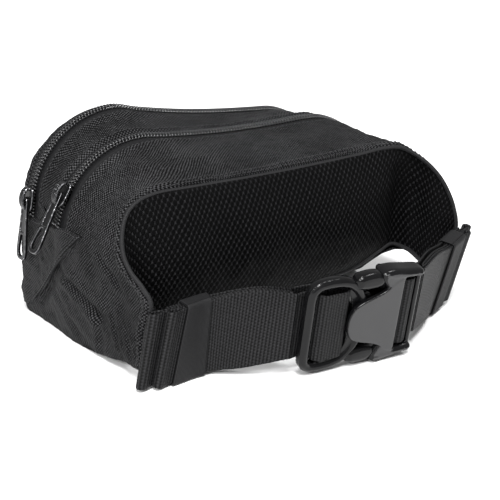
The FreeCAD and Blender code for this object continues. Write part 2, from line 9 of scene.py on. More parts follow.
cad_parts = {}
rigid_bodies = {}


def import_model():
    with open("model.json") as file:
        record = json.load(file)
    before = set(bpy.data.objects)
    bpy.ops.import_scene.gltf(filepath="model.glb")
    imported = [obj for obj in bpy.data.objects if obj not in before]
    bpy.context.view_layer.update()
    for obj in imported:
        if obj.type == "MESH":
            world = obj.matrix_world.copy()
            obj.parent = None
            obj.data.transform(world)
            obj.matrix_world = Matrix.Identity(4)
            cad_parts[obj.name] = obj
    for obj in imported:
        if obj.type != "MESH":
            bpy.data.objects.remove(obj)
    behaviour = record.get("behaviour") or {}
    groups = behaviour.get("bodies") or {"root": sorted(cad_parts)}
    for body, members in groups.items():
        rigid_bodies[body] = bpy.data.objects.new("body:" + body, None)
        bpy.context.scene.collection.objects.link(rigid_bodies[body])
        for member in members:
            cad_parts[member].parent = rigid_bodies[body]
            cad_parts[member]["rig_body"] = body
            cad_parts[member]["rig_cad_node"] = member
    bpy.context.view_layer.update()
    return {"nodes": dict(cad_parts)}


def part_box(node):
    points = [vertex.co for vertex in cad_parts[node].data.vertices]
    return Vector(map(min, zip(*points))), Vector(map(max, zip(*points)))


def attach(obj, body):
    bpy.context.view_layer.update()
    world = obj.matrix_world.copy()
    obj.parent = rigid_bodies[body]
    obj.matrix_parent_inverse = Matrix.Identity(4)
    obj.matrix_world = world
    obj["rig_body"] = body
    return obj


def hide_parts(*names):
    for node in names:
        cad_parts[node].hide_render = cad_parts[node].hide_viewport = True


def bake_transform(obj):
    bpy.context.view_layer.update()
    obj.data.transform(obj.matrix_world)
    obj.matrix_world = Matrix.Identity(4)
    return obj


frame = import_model()

MM = 0.001

# ---- camera, light and floor -------------------------------------

CAMERA_TARGET = Vector((14, 45, 48)) * MM
CAMERA_DISTANCE = 760 * MM
CAMERA_AZIMUTH = 145.0
CAMERA_ELEVATION = 20.0
CAMERA_LENS = 100.8
SENSOR_WIDTH = 36.0

# name, kind, azimuth and elevation, distance, size (a sun's is its angle) and power
LAMPS = [
    ("sun", "SUN", 148, 56, 2.0, 0.35, 2.8),
    ("key", "AREA", 118, 28, 1.3, 0.3, 10),
    ("rim", "AREA", 246, 60, 1.4, 0.24, 6),
    ("front", "AREA", 150, 70, 1.2, 0.14, 8),
]
SKY_STRENGTH = 0.5
FLOOR_SIZE = 8
FLOOR_GREY = 0.93
FLOOR_ROUGHNESS = 0.9


def direction(azimuth, elevation):
    """Unit vector from the object towards a viewer."""
    turn, lift = math.radians(azimuth), math.radians(elevation)
    return Vector((math.sin(turn) * math.cos(lift), -math.cos(turn) * math.cos(lift), math.sin(lift)))


def aim(item, azimuth, elevation, distance):
    """Put a camera or lamp at a direction from the object and point it back there."""
    towards = direction(azimuth, elevation)
    item.location = CAMERA_TARGET + towards * distance
    item.rotation_euler = (-towards).to_track_quat("-Z", "Y").to_euler()
    bpy.context.scene.collection.objects.link(item)


def make_camera():
    data = bpy.data.cameras.new("camera")
    data.lens = CAMERA_LENS
    data.sensor_width = SENSOR_WIDTH
    camera = bpy.data.objects.new("camera", data)
    aim(camera, CAMERA_AZIMUTH, CAMERA_ELEVATION, CAMERA_DISTANCE)
    bpy.context.scene.camera = camera


def lamp(name, kind, azimuth, elevation, distance, size, power):
    """Soft disk or sun that shines on the object."""
    data = bpy.data.lights.new(name, kind)
    if kind == "SUN":
        data.angle = size
    else:
        data.shape = "DISK"
        data.size = size
    data.energy = power
    aim(bpy.data.objects.new(name, data), azimuth, elevation, distance)


def make_studio():
    world = bpy.data.worlds.new("studio")
    world.use_nodes = True
    background = world.node_tree.nodes["Background"]
    background.inputs["Color"].default_value = (1, 1, 1, 1)
    background.inputs["Strength"].default_value = SKY_STRENGTH
    bpy.context.scene.world = world
    bpy.context.scene.view_settings.view_transform = "Standard"
    for row in LAMPS:
        lamp(*row)
    bpy.ops.mesh.primitive_plane_add(size=FLOOR_SIZE, location=(0, 0, 0))
    floor = bpy.context.object
    floor.name = "floor"
    material = bpy.data.materials.new("floor")
    material.use_nodes = True
    shader = material.node_tree.nodes["Principled BSDF"]
    shader.inputs["Base Color"].default_value = (FLOOR_GREY, FLOOR_GREY, FLOOR_GREY, 1)
    shader.inputs["Roughness"].default_value = FLOOR_ROUGHNESS
    floor.data.materials.append(material)


make_camera()
make_studio()


# ---- materials ---------------------------------------------------

# colour from dark to light between two heights, relief (depth in mm, strength), roughness and specular level
LOOKS = {
    "pack_cloth": ((0.62, 1.12, (0.0004, 0.0004, 0.0005), (0.050, 0.050, 0.052)), (0.35, 0.75), 0.66, 0.06),
    "spacer_mesh": ((0.1, 0.95, (0.0002, 0.0002, 0.0003), (0.014, 0.014, 0.015)), (1.1, 0.9), 0.6, 0.06),
    "webbing": ((0.35, 1.0, (0.0005, 0.0005, 0.0006), (0.020, 0.020, 0.021)), (0.4, 0.8), 0.6, 0.12),
    "zip_band_cloth": ((0.2, 0.9, (0.003, 0.003, 0.0033), (0.022, 0.022, 0.023)), (0.25, 0.6), 0.6, 0.14),
    "elastic": ((0.2, 0.9, (0.001, 0.001, 0.0012), (0.024, 0.024, 0.025)), (0.2, 0.6), 0.62, 0.12),
    "zip_tape": ((0.1, 0.95, (0.0008, 0.0008, 0.0009), (0.010, 0.010, 0.011)), (0.2, 0.6), 0.62, 0.12),
    "thread": ((0.3, 0.8, (0.006, 0.006, 0.0065), (0.034, 0.034, 0.036)), (0.1, 0.5), 0.5, 0.25),
}
SLUB = {"pack_cloth": 800, "spacer_mesh": 1100, "webbing": 1000, "zip_band_cloth": 1300, "elastic": 1500,
        "zip_tape": 1500}       # fineness of the unevenness of the threads
CLOTH_PITCH, WEBBING_RIB, TWILL_PITCH = (2.0, 1.7), 1.7, (3.4, 1.7)


class Nodes:
    """Short way to write a node tree."""

    def __init__(self, name):
        self.name = name
        self.material = bpy.data.materials.new(name)
        self.material.use_nodes = True
        self.tree = self.material.node_tree
        self.shader = self.tree.nodes["Principled BSDF"]

    def add(self, kind, sockets=(), **settings):
        """A node with its settings, and values or links for some of its sockets."""
        node = self.tree.nodes.new(kind)
        for key, value in settings.items():
            setattr(node, key, value)
        for key, value in dict(sockets).items():
            self.feed(node.inputs[key], value)
        return node

    def feed(self, socket, value):
        if isinstance(value, bpy.types.NodeSocket):
            self.tree.links.new(value, socket)
        else:
            socket.default_value = value

    def math(self, operation, *values):
        return self.add("ShaderNodeMath", dict(enumerate(values)), operation=operation).outputs[0]

    def times(self, first, second):
        return self.math("MULTIPLY", first, second)

    def scaled(self, value, factor, offset):
        """The value times a factor, plus an offset."""
        return self.math("MULTIPLY_ADD", value, factor, offset)

    def uv(self):
        """The two surface coordinates, in metres."""
        split = self.add("ShaderNodeSeparateXYZ", {0: self.add("ShaderNodeUVMap").outputs[0]})
        return split.outputs[0], split.outputs[1]

    def noise(self, scale, detail=2.0, roughness=0.6):
        place = self.add("ShaderNodeTexCoord").outputs["Object"]
        mapping = self.add("ShaderNodeMapping", {0: place})
        sockets = {"Vector": mapping.outputs[0], "Scale": scale, "Detail": detail, "Roughness": roughness}
        return self.add("ShaderNodeTexNoise", sockets).outputs[0]

    def slub(self):
        """Unevenness of this material's threads."""
        return self.noise(SLUB[self.name])

    def range(self, value, low, high, **settings):
        """The value's place between low and high, from 0 to 1."""
        sockets = {"Value": value, "From Min": low, "From Max": high}
        return self.add("ShaderNodeMapRange", sockets, clamp=True, **settings).outputs[0]

    def ramp(self, value, low, high, low_color, high_color):
        sockets = {0: self.range(value, low, high), 6: (*low_color, 1), 7: (*high_color, 1)}
        return self.add("ShaderNodeMix", sockets, data_type="RGBA").outputs[2]

    def bump(self, height, distance, strength):
        """Relief; the distance is in millimetres."""
        sockets = {"Distance": distance * MM, "Strength": strength, "Height": height}
        return self.add("ShaderNodeBump", sockets).outputs[0]

    def finish(self, color, roughness, relief=None, **levels):
        """Join colour, roughness and relief to the shader, and set its other levels."""
        self.feed(self.shader.inputs["Base Color"], color)
        self.feed(self.shader.inputs["Roughness"], roughness)
        if relief:
            self.feed(self.shader.inputs["Normal"], self.bump(*relief))
        for key, value in levels.items():
            self.shader.inputs[key.replace("_", " ")].default_value = value
        return self.material

    def from_height(self, height):
        """Finish a surface whose colour and relief both follow one height."""
        tone, relief, roughness, gloss = LOOKS[self.name]
        return self.finish(self.ramp(height, *tone), roughness, (height, *relief), Specular_IOR_Level=gloss)


def wave(nodes, coordinate, pitch, phase=0.0):
    """Sine along a surface coordinate, from 0 to 1; the pitch is in millimetres."""
    turned = nodes.scaled(coordinate, 2 * math.pi / (pitch * MM), phase)
    return nodes.scaled(nodes.math("SINE", turned), 0.5, 0.5)


def weave(nodes, across, along, pitch_across, pitch_along):
    """Plain weave: raised dashes, each row shifted by half a dash."""
    first = nodes.math("SINE", nodes.times(across, 2 * math.pi / (pitch_across * MM)))
    second = nodes.math("SINE", nodes.times(along, 2 * math.pi / (pitch_along * MM)))
    return nodes.scaled(nodes.times(first, second), 0.5, 0.5)


def cloth_material():
    n = Nodes("pack_cloth")
    threads = weave(n, *n.uv(), *CLOTH_PITCH)
    dust = n.noise(28, 4.0)
    mixed = n.scaled(n.slub(), 0.9, n.scaled(threads, 1.05, -0.30))
    return n.from_height(n.times(mixed, n.scaled(dust, 0.7, 0.65)))


MESH_PITCH = (3.5, 4.9)         # between the holes of the spacer mesh, along and up
MESH_HOLE = (0.25, 0.43)        # where a hole ends and its rib is full, in pitches from the middle
MESH_STRETCH = 1.1              # how much sooner a hole ends upwards than along


def mesh_material():
    """Spacer mesh: staggered oval holes between glossy knitted ribs."""
    n = Nodes("spacer_mesh")
    u, v = n.uv()

    def square(coordinate, pitch, shift):
        """Squared distance from the middle of a cell, in pitches."""
        turned = n.scaled(coordinate, 1 / (pitch * MM), shift)
        return n.math("POWER", n.math("ABSOLUTE", n.math("SUBTRACT", n.math("FRACT", turned), 0.5)), 2.0)

    def hole(shift):
        upwards = n.times(square(v, MESH_PITCH[1], shift), MESH_STRETCH)
        return n.math("SQRT", n.math("ADD", square(u, MESH_PITCH[0], shift), upwards))

    rib = n.range(n.math("MINIMUM", hole(0.0), hole(0.5)), *MESH_HOLE, interpolation_type="SMOOTHSTEP")
    patch = n.noise(90, 3.0)
    stroke = n.scaled(wave(n, v, MESH_PITCH[1] / 2, math.pi / 2), 0.5, 0.5)
    height = n.times(rib, n.scaled(n.slub(), 1.6, 0.1))
    return n.from_height(n.times(height, n.times(stroke, n.scaled(patch, 0.9, 0.6))))


def webbing_material():
    """Ribs across the strap with a fine twill on them."""
    n = Nodes("webbing")
    u, v = n.uv()
    mixed = n.scaled(wave(n, u, WEBBING_RIB), 0.5, n.times(weave(n, u, v, *TWILL_PITCH), 0.4))
    return n.from_height(n.scaled(n.slub(), 0.6, n.math("SUBTRACT", mixed, 0.15)))


def woven_material(name, pitches, shares):
    """Weave of two pitches, or ribs of one, with uneven threads mixed in."""
    n = Nodes(name)
    u, v = n.uv()
    threads = weave(n, u, v, *pitches) if len(pitches) > 1 else wave(n, v, *pitches)
    return n.from_height(n.scaled(n.slub(), shares[0], n.times(threads, shares[1])))


def plastic_material(name, grain, smear, dark, light, rough, relief, gloss):
    """Moulded plastic: fine grain, and a slow smear in its colour and gloss."""
    n = Nodes(name)
    slow = n.noise(smear, 3.0, 0.5)
    color = n.ramp(slow, 0.3, 0.8, dark, light)
    return n.finish(color, n.scaled(slow, *rough), (n.noise(*grain), *relief), Specular_IOR_Level=gloss)


def coil_material():
    n = Nodes("zip_coil")
    color = n.ramp(n.noise(700, 2.0, 0.5), 0.3, 0.8, (0.008, 0.008, 0.0085), (0.04, 0.04, 0.042))
    return n.finish(color, 0.3, Specular_IOR_Level=0.6)


def thread_material():
    n = Nodes("thread")
    return n.from_height(n.noise(2500, 2.0, 0.5))


def metal_material():
    """Black coated metal with painted highlights: its pointy edges are coloured light grey in place of
    glints.
    """
    n = Nodes("zip_metal")
    edge = n.add("ShaderNodeNewGeometry").outputs["Pointiness"]
    # noise that varies the roughness and relief, and breaks up the painted edge highlight
    grime_and_highlight_noise = n.noise(600, 4.0)
    # painted highlight: where the surface is pointy its colour turns light grey, standing in for glints on
    # the edges
    painted_edge_highlight = n.math("ADD", edge, n.scaled(grime_and_highlight_noise, 0.05, -0.025))
    color = n.ramp(painted_edge_highlight, 0.512, 0.585, (0.016, 0.016, 0.017), (0.50, 0.50, 0.52))
    return n.finish(color, n.scaled(grime_and_highlight_noise, 0.2, 0.2), (grime_and_highlight_noise, 0.05, 0.4), Metallic=0.85)


CLOTH = cloth_material()
BAND = woven_material("zip_band_cloth", (1.3, 0.9), (0.5, 0.5))
SPACER = mesh_material()
WEBBING = webbing_material()
ELASTIC = woven_material("elastic", (0.95,), (0.4, 0.55))
TAPE = woven_material("zip_tape", (0.9, 0.8), (0.4, 0.55))
COIL = coil_material()
THREAD = thread_material()
METAL = metal_material()
GLOSS = plastic_material("buckle_gloss", (1800, 3.0, 0.6), 60, (0.002, 0.002, 0.0022), (0.005, 0.005, 0.0055),
                         (0.14, 0.12), (0.03, 0.3), 0.2)
SATIN = plastic_material("buckle_satin", (2600, 3.0, 0.7), 45, (0.014, 0.014, 0.015), (0.021, 0.021, 0.022),
                         (0.12, 0.42), (0.05, 0.5), 0.5)


# ---- mesh helpers ------------------------------------------------

def lengths(points):
    """Distance of each point along a polyline."""
    return np.concatenate([[0], np.cumsum(np.linalg.norm(np.diff(points, axis=0), axis=1))])


def chord(points):
    """Distances along a polyline, from 0 to 1."""
    length = lengths(points)
    return length / length[-1]


def sample(points, distances, places):
    """Points of a polyline at the given places."""
    return np.stack([np.interp(places, distances, values) for values in points.T], axis=-1)


def spread(points, count):
    """The same polyline with a number of evenly spread points."""
    return sample(points, chord(points), np.linspace(0, 1, count))


def grid_uv(points):
    """Surface coordinates in metres, from the lengths of the grid's middle rows."""
    rows, columns = points.shape[:2]
    return np.stack(np.meshgrid(lengths(points[rows // 2]), lengths(points[:, columns // 2])), axis=-1)


def set_uv(mesh, pairs):
    """Surface coordinates of a mesh, one pair for each vertex."""
    index = np.zeros(len(mesh.loops), np.int32)
    mesh.loops.foreach_get("vertex_index", index)
    mesh.uv_layers[0].data.foreach_set("uv", np.asarray(pairs, np.float32).reshape(-1, 2)[index].ravel())


def finish_mesh(name, verts, faces, uvs, material):
    """A smooth mesh object with one UV pair for each vertex."""
    mesh = bpy.data.meshes.new(name)
    mesh.from_pydata([tuple(point) for point in verts], [], faces)
    mesh.uv_layers.new(name="UVMap")
    set_uv(mesh, uvs)
    mesh.polygons.foreach_set("use_smooth", np.ones(len(mesh.polygons), bool))
    mesh.materials.append(material)
    piece = bpy.data.objects.new(name, mesh)
    bpy.context.scene.collection.objects.link(piece)
    return piece


def settle(piece, body, slot, *nodes):
    """Hide the CAD nodes that a piece stands for and attach it to the body that it moves with; the slot is
    not used.
    """
    if nodes:
        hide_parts(*nodes)
    if body:
        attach(piece, body)


def grid_faces(rows, columns, wrap=False):
    faces = []
    for row in range(rows if wrap else rows - 1):
        for column in range(columns - 1):
            a = row * columns + column
            b = (row + 1) % rows * columns + column
            faces.append((a, a + 1, b + 1, b))
    return faces


def sheet_mesh(name, points, material, uv=None):
    """Surface through a grid of points."""
    uv = grid_uv(points) if uv is None else uv
    return finish_mesh(name, points.reshape(-1, 3), grid_faces(*points.shape[:2]), uv, material)


def unit(vectors):
    return vectors / np.maximum(np.linalg.norm(vectors, axis=-1, keepdims=True), 1e-12)


def hermite(t):
    """Weights of the start, its slope, the end and its slope on a smooth curve."""
    return 2 * t**3 - 3 * t**2 + 1, t**3 - 2 * t**2 + t, -2 * t**3 + 3 * t**2, t**3 - t**2


def spline(knots, values, places):
    """Smooth curve through values at the knots (Catmull-Rom with uneven knots)."""
    knots = np.asarray(knots, float)
    values = np.asarray(values, float)
    slopes = np.gradient(values, knots, axis=0)
    places = np.asarray(places, float)
    index = np.clip(np.searchsorted(knots, places) - 1, 0, len(knots) - 2)
    shape = (-1,) + (1,) * (values.ndim - 1)
    width = knots[index + 1] - knots[index]
    t, width = ((places - knots[index]) / width).reshape(shape), width.reshape(shape)
    start, leave, end, arrive = hermite(t)
    return (start * values[index] + leave * width * slopes[index]
            + end * values[index + 1] + arrive * width * slopes[index + 1])


def smooth_curve(points, count):
    """Evenly spread points of a smooth curve through the given ones."""
    return spread(spline(chord(points), points, np.linspace(0, 1, count * 4)), count)


def tube(name, path, radius, material, sides=8, flat=None):
    """Round tube along a path of points; flat gives normals and how far it is squeezed along them."""
    tangent = unit(np.gradient(path, axis=0))
    if flat is None:
        reference = np.tile([0.0, 0.0, 1.0], (len(path), 1))
        reference[np.abs(tangent[:, 2]) > 0.9] = [0, 1, 0]
        squeeze = 1.0
    else:
        reference, squeeze = flat
    side = unit(np.cross(tangent, reference))
    up = np.cross(side, tangent)
    turn = np.linspace(0, 2 * math.pi, sides + 1)
    ring = (path[:, None] + side[:, None] * np.cos(turn)[None, :, None] * radius
            + up[:, None] * np.sin(turn)[None, :, None] * radius * squeeze)
    return sheet_mesh(name, ring, material)


def join(name, pieces):
    """One object from several."""
    bpy.ops.object.select_all(action="DESELECT")
    for piece in pieces:
        piece.select_set(True)
    bpy.context.view_layer.objects.active = pieces[0]
    if len(pieces) > 1:
        bpy.ops.object.join()
    pieces[0].name = name
    return pieces[0]


STITCH_PITCH, STITCH_LENGTH, STITCH_RADIUS = 3.0 * MM, 2.1 * MM, 0.28 * MM
STITCH_LIFT = np.array([-1.0, 0.35, 0.6, 0.35, -1.0])      # height of each ring, in radii
STITCH_SIZE = (0.55, 1.0, 1.0, 1.0, 0.55)
STITCH_SIDES = 6


def stitches(name, path, normal):
    """Row of sewn stitches on a surface: short threads that dip at both ends."""
    distance = lengths(path)
    verts, faces = [], []
    for start in np.arange(STITCH_PITCH * 0.3, distance[-1] - STITCH_LENGTH, STITCH_PITCH):
        places = start + np.linspace(0, STITCH_LENGTH, len(STITCH_SIZE))
        outward = sample(normal, distance, places)
        centre = sample(path, distance, places) + outward * (STITCH_LIFT * STITCH_RADIUS)[:, None]
        along = centre[-1] - centre[0]
        along /= np.linalg.norm(along)
        side = np.cross(along, outward[2])
        side /= max(np.linalg.norm(side), 1e-9)
        base = len(verts)
        for middle, share in zip(centre, STITCH_SIZE):
            size = STITCH_RADIUS * share
            for step in range(STITCH_SIDES):
                turn = 2 * math.pi * step / STITCH_SIDES
                verts.append(middle + side * math.cos(turn) * size + outward[2] * math.sin(turn) * size)
        for ring in range(len(STITCH_SIZE) - 1):
            for step in range(STITCH_SIDES):
                a = base + ring * STITCH_SIDES + step
                b = base + ring * STITCH_SIDES + (step + 1) % STITCH_SIDES
                faces.append((a, b, b + STITCH_SIDES, a + STITCH_SIDES))
    return finish_mesh(name, verts, faces, np.zeros((len(verts), 2)), THREAD)


def ripple(points, scale, stretch, seed):
    """Soft random relief, from -1 to 1, at each point."""
    factors = np.array(stretch) / scale
    shift = Vector((seed, seed * 1.7, seed * 0.3))
    values = [noise.fractal(Vector(point * factors) + shift, 0.6, 2.0, 3) for point in points.reshape(-1, 3)]
    return np.array(values).reshape(points.shape[:-1])


def smoothstep(low, high, value):
    t = np.clip((value - low) / (high - low), 0, 1)
    return t * t * (3 - 2 * t)


def crease(points, start, end, width, depth):
    """Relief of one pressed fold between two points: a valley with a soft ridge beside it."""
    a, b = np.array(start) * MM, np.array(end) * MM
    length = np.linalg.norm(b - a)
    along = (b - a) / length
    place = np.clip((points - a) @ along, 0, length)
    distance = np.linalg.norm(points - a - place[..., None] * along, axis=-1)
    fade = smoothstep(0, 1, np.minimum(place, length - place) / (0.25 * length))
    valley = np.exp(-(distance / (width * MM)) ** 2)
    ridge = np.exp(-((distance - 2.0 * width * MM) / (1.2 * width * MM)) ** 2)
    return depth * MM * fade * (0.55 * ridge - valley)


# ---- pouch shape -------------------------------------------------

FRONT_EDGE_Y, FRONT_ZIP_Y, MAIN_ZIP_Y, FLAT_END_Y, BACK_Y = -61.4, -45.0, -4.0, 22.0, 45.0
ZIP_HALF = 8.0          # coil and both tapes, from the middle
ZIP_END_Z = {"front": 60.0, "main": 66.0}

# depth, foot (+X, -X), half width, top height and shoulder radius at each end
SECTIONS = [
    (-61.4, (92, 86), (90, 88), (97, 81), (40, 34)),
    (-60.4, (96, 90), (94, 92), (101, 85), (43, 36)),
    (-57.5, (99, 93), (97, 96), (107, 91), (48, 40)),
    (-53.0, (100, 94), (98.5, 98.5), (112, 96), (51, 43)),
    (-45.0, (100, 94), (99, 99), (114, 98), (52, 44)),
    (-37.0, (100, 94), (99.5, 99.5), (113.3, 98), (52, 44)),
    (-25.0, (100, 94), (102.5, 102), (110, 99.3), (52, 45)),
    (-12.0, (100, 94), (105, 104.5), (107.5, 100.8), (52, 46)),
    (-4.0, (100, 94), (106, 105), (107, 101), (52, 46)),
    (4.0, (100, 94), (106, 105), (106.4, 100.6), (52, 46)),
]
SECTION_DEPTHS = [row[0] for row in SECTIONS]
SECTION_VALUES = np.array([sum(row[1:], ()) for row in SECTIONS], float)
SIDE_BULGE = 1.6        # how far a side stands out of its straight line
TOP_SAG = 2.2

# shares of the way from the near hem over the top to the far hem
SIDE_SHARE, ARC_SHARE, TOP_SHARE, FAR_ARC_SHARE = 0.15, 0.36, 0.66, 0.85
ENDS = ((0, 1, 0.0, SIDE_SHARE, ARC_SHARE), (1, -1, 1.0, FAR_ARC_SHARE, TOP_SHARE))
AROUND = 361            # points over the pouch, from hem to hem
SHARES = np.linspace(0, 1, AROUND)


def outline(depth, shares):
    """Points of one cross-section, from the near hem over the top to the far hem, in millimetres."""
    depth = min(max(depth, SECTION_DEPTHS[0]), SECTION_DEPTHS[-1])
    foot, half, top, radius = spline(SECTION_DEPTHS, SECTION_VALUES, [depth])[0].reshape(4, 2)
    rows = []
    for end, sign, hem_share, side_share, arc_share in ENDS:
        for step in np.linspace(0, 1, 9):
            width = foot[end] + (half[end] - foot[end]) * step + SIDE_BULGE * math.sin(math.pi * step)
            if step < 1:
                rows.append((hem_share + (side_share - hem_share) * step, sign * width,
                             (top[end] - radius[end]) * step))
            turn = step * math.pi / 2
            rows.append((side_share + (arc_share - side_share) * step,
                         sign * (half[end] - radius[end] * (1 - math.cos(turn))),
                         top[end] - radius[end] * (1 - math.sin(turn))))
    near, far = half[0] - radius[0], -(half[1] - radius[1])
    for step in np.linspace(0, 1, 7)[1:-1]:
        rows.append((ARC_SHARE + (TOP_SHARE - ARC_SHARE) * step, near + (far - near) * step,
                     top[0] + (top[1] - top[0]) * step - TOP_SAG * math.sin(math.pi * step)))
    rows = np.array(sorted(rows))
    flat = spline(rows[:, 0], rows[:, 1:], shares)
    return np.stack([flat[:, 0], np.full(len(flat), depth), flat[:, 1]], axis=-1)


# ---- rim where the outer cloth meets the padded back -------------

# share of the outline, then the point: near wing tip, its edge, the back's top seam, the far wing
RIM = [
    (0.000, (98.5, 71.5, 9)), (0.045, (98.0, 72.5, 28)), (0.075, (96.0, 75.5, 45)),
    (0.100, (97.6, 71.5, 52)), (0.135, (99.8, 64.0, 58.5)), (0.170, (100.6, 59.0, 64.5)),
    (0.205, (100.0, 55.5, 70)), (0.240, (98.2, 52.5, 76)), (0.275, (95.3, 50.0, 82)),
    (0.305, (91.0, 48.0, 86.5)), (0.335, (85.0, 46.8, 89.8)), (0.365, (77.0, 46.0, 91.4)),
    (0.430, (50.0, 45.4, 90.8)), (0.500, (15.0, 45.0, 89.6)), (0.580, (-25.0, 45.0, 89.2)),
    (0.650, (-60.0, 45.0, 89.8)), (0.690, (-80.0, 45.4, 90.8)), (0.715, (-90.0, 46.2, 90.0)),
    (0.740, (-97.0, 48.5, 86.6)), (0.775, (-104.5, 54.5, 80)), (0.815, (-111.0, 60.0, 70.5)),
    (0.850, (-115.0, 63.6, 60.5)), (0.885, (-117.4, 65.4, 51)), (0.915, (-118.4, 66.4, 43)),
    (0.960, (-116.5, 67.0, 27)), (1.000, (-113.5, 67.0, 13)),
]
RIM_SHARES = [row[0] for row in RIM]
RIM_POINTS = np.array([row[1] for row in RIM], float)


def rim(shares):
    return spline(RIM_SHARES, RIM_POINTS, shares)


# depth, and how far the far hem has risen off the floor there
FAR_HEM_LIFT = [(4, 0), (9, 2.5), (14, 6.5), (24, 14), (34, 21), (42, 24), (49, 19), (58, 11), (67, 3)]
FAR_SIDE_X, LIFT_HEIGHT = -50, 60.0     # the rise acts past this place and dies out at this height
REAR_PULL = 0.9         # how strongly the cloth's ends keep their directions, as a share of its span


def rear_grid(count):
    """Outer cloth from the main zip back to the rim, sides flowing out into the wings."""
    start, before = outline(SECTION_DEPTHS[-1], SHARES), outline(SECTION_DEPTHS[-1] - 6, SHARES)
    end = rim(SHARES)
    span = np.linalg.norm(end - start, axis=1, keepdims=True)
    leave = unit(start - before) * span * REAR_PULL
    leave[:, 2] *= 0.6
    top = (smoothstep(0.30, 0.42, SHARES) * (1 - smoothstep(0.62, 0.74, SHARES)))[:, None]
    arrive = (end - start) / span + top * np.array([0, 0, -0.55]) + (1 - top) * np.array([0, 0.35, 0])
    arrive = unit(arrive) * span * REAR_PULL
    weights = hermite(np.linspace(0, 1, count)[:, None, None])
    grid = sum(weight * value for weight, value in zip(weights, (start, leave, end, arrive)))
    lift = np.interp(grid[..., 1], *zip(*FAR_HEM_LIFT))
    share = np.clip(1 - grid[..., 2] / LIFT_HEIGHT, 0, 1)
    grid[..., 2] += lift * share * (grid[..., 0] < FAR_SIDE_X)
    grid[..., 2] = np.maximum(grid[..., 2], 0.4)
    return grid


# ---- cloth panels ------------------------------------------------

# pressed folds on the near end and wing, start, end, half width, depth
FOLDS = [
    ((103, 26, 68), (101, -44, 4), 3.6, 2.2),
    ((104, -4, 45), (102, 42, 22), 2.8, 2.2),
    ((102, 34, 28), (100, 30, 0), 2.4, 1.2),
    ((104, 34, 66), (101, 58, 42), 1.9, 1.0),
    ((102, 44, 36), (100, 52, 6), 1.6, 1.0),
    ((101, 54, 34), (99, 62, 8), 1.4, 0.9),
    ((100, 64, 40), (98, 68, 14), 1.1, 0.6),
    ((103, -16, 34), (101, 14, 4), 2.6, 1.0),
    ((104, 36, 72), (99, 50, 86), 2.0, 0.8),
    ((60, 22, 101), (96, 30, 84), 2.6, 1.3),
    ((20, 30, 97), (70, 38, 94), 2.4, 1.2),
    ((-20, 32, 96), (-80, 36, 95), 3.0, 0.9),
    ((-56, 12, 99), (-98, 30, 86), 3.0, 1.6),
    ((-86, 0, 96), (-100, 36, 88), 2.4, 1.2),
    ((-104, 10, 60), (-100, 44, 84), 3.0, 1.4),
    ((-104, -30, 50), (-98, 20, 20), 3.4, 1.4),
    ((-106, 6, 40), (-108, 52, 34), 3.0, 1.3),
    ((70, -24, 104), (20, -26, 101), 2.2, 0.8),
    ((-20, -22, 99), (-74, -26, 97), 2.2, 0.8),
]
# unevenness of the cloth: height, size, stretch and seed
RIPPLES = ((1.7, 34, (1, 1, 1), 3.1), (0.7, 13, (1.0, 0.7, 1.3), 7.7), (0.22, 5, (1.0, 0.8, 1.2), 1.9))
SEAM_TUCK, SEAM_WIDTH, SEAM_LIP = 1.3, 1.6, 0.9      # a sewn seam's valley and the lip beside it
SEAM_CALM = 6.0         # how far from a seam the cloth lies calm
TOP_INSET, END_INSET = 3.2, 2.2     # stitches' distance from a seam, beside the zips and on the ends
FLOOR_GAP = 0.1


def relief(points, calm):
    """Soft unevenness and pressed folds of the stuffed cloth, in metres."""
    height = sum(high * MM * ripple(points, size * MM, *shape) for high, size, *shape in RIPPLES)
    for fold_line in FOLDS:
        height += crease(points, *fold_line)
    return height * (1 - calm)


def edge_distance(points, axis, from_end):
    """Distance of each point from one edge of the grid, measured along the surface."""
    pad = [(0, 0), (0, 0)]
    pad[axis] = (1, 0)
    distance = np.pad(np.cumsum(np.linalg.norm(np.diff(points, axis=axis), axis=-1), axis=axis), pad)
    return np.take(distance, [-1], axis=axis) - distance if from_end else distance


def seam(distance, tuck=SEAM_TUCK, width=SEAM_WIDTH, lip=SEAM_LIP):
    """Valley at a seam with the folded cloth standing up as a lip beside it."""
    valley = -tuck * MM * np.exp(-(distance / (width * MM)) ** 2)
    raised = lip * MM * np.exp(-((distance - 3.4 * MM) / (2.2 * MM)) ** 2)
    return valley + raised


def outward(points):
    """Grid normals turned to point away from the middle of the pouch."""
    normal = unit(np.cross(np.gradient(points, axis=1), np.gradient(points, axis=0)))
    middle = points.reshape(-1, 3).mean(axis=0) * np.array([0, 0.4, 0.6])
    away = np.sign(np.sum(normal * (points - middle), axis=-1, keepdims=True))
    return normal * (np.sign(np.sum(away)) or 1.0)


def edge(axis, from_end, there=1.0, **settings):
    """A seam along one edge of a grid, where along it the seam is there (0 to 1), and its own shape."""
    return axis, from_end, there, settings


def panel(name, grid, seams=(), threads=(), nodes=(), calm=0.0, material=CLOTH):
    """Cloth panel: the grid (millimetres) with relief, seams and rows of stitches at the chosen edges."""
    points = grid * MM
    normal = outward(points)
    height = relief(points, calm)
    fade = np.ones(points.shape[:2])
    for axis, from_end, there, settings in seams:
        fade *= 1 - there * (1 - smoothstep(0, SEAM_CALM * MM, edge_distance(points, axis, from_end)))
    height = height * fade
    for axis, from_end, there, settings in seams:
        height = height + seam(edge_distance(points, axis, from_end), **settings) * there
    moved = points + normal * height[..., None]
    moved[..., 2] = np.maximum(moved[..., 2], FLOOR_GAP * MM)
    piece = sheet_mesh(name, moved, material, grid_uv(points))
    settle(piece, "pack", "pack_cloth", *nodes)
    for thread in threads:
        sew(moved, normal, *thread)
    return piece, moved, normal


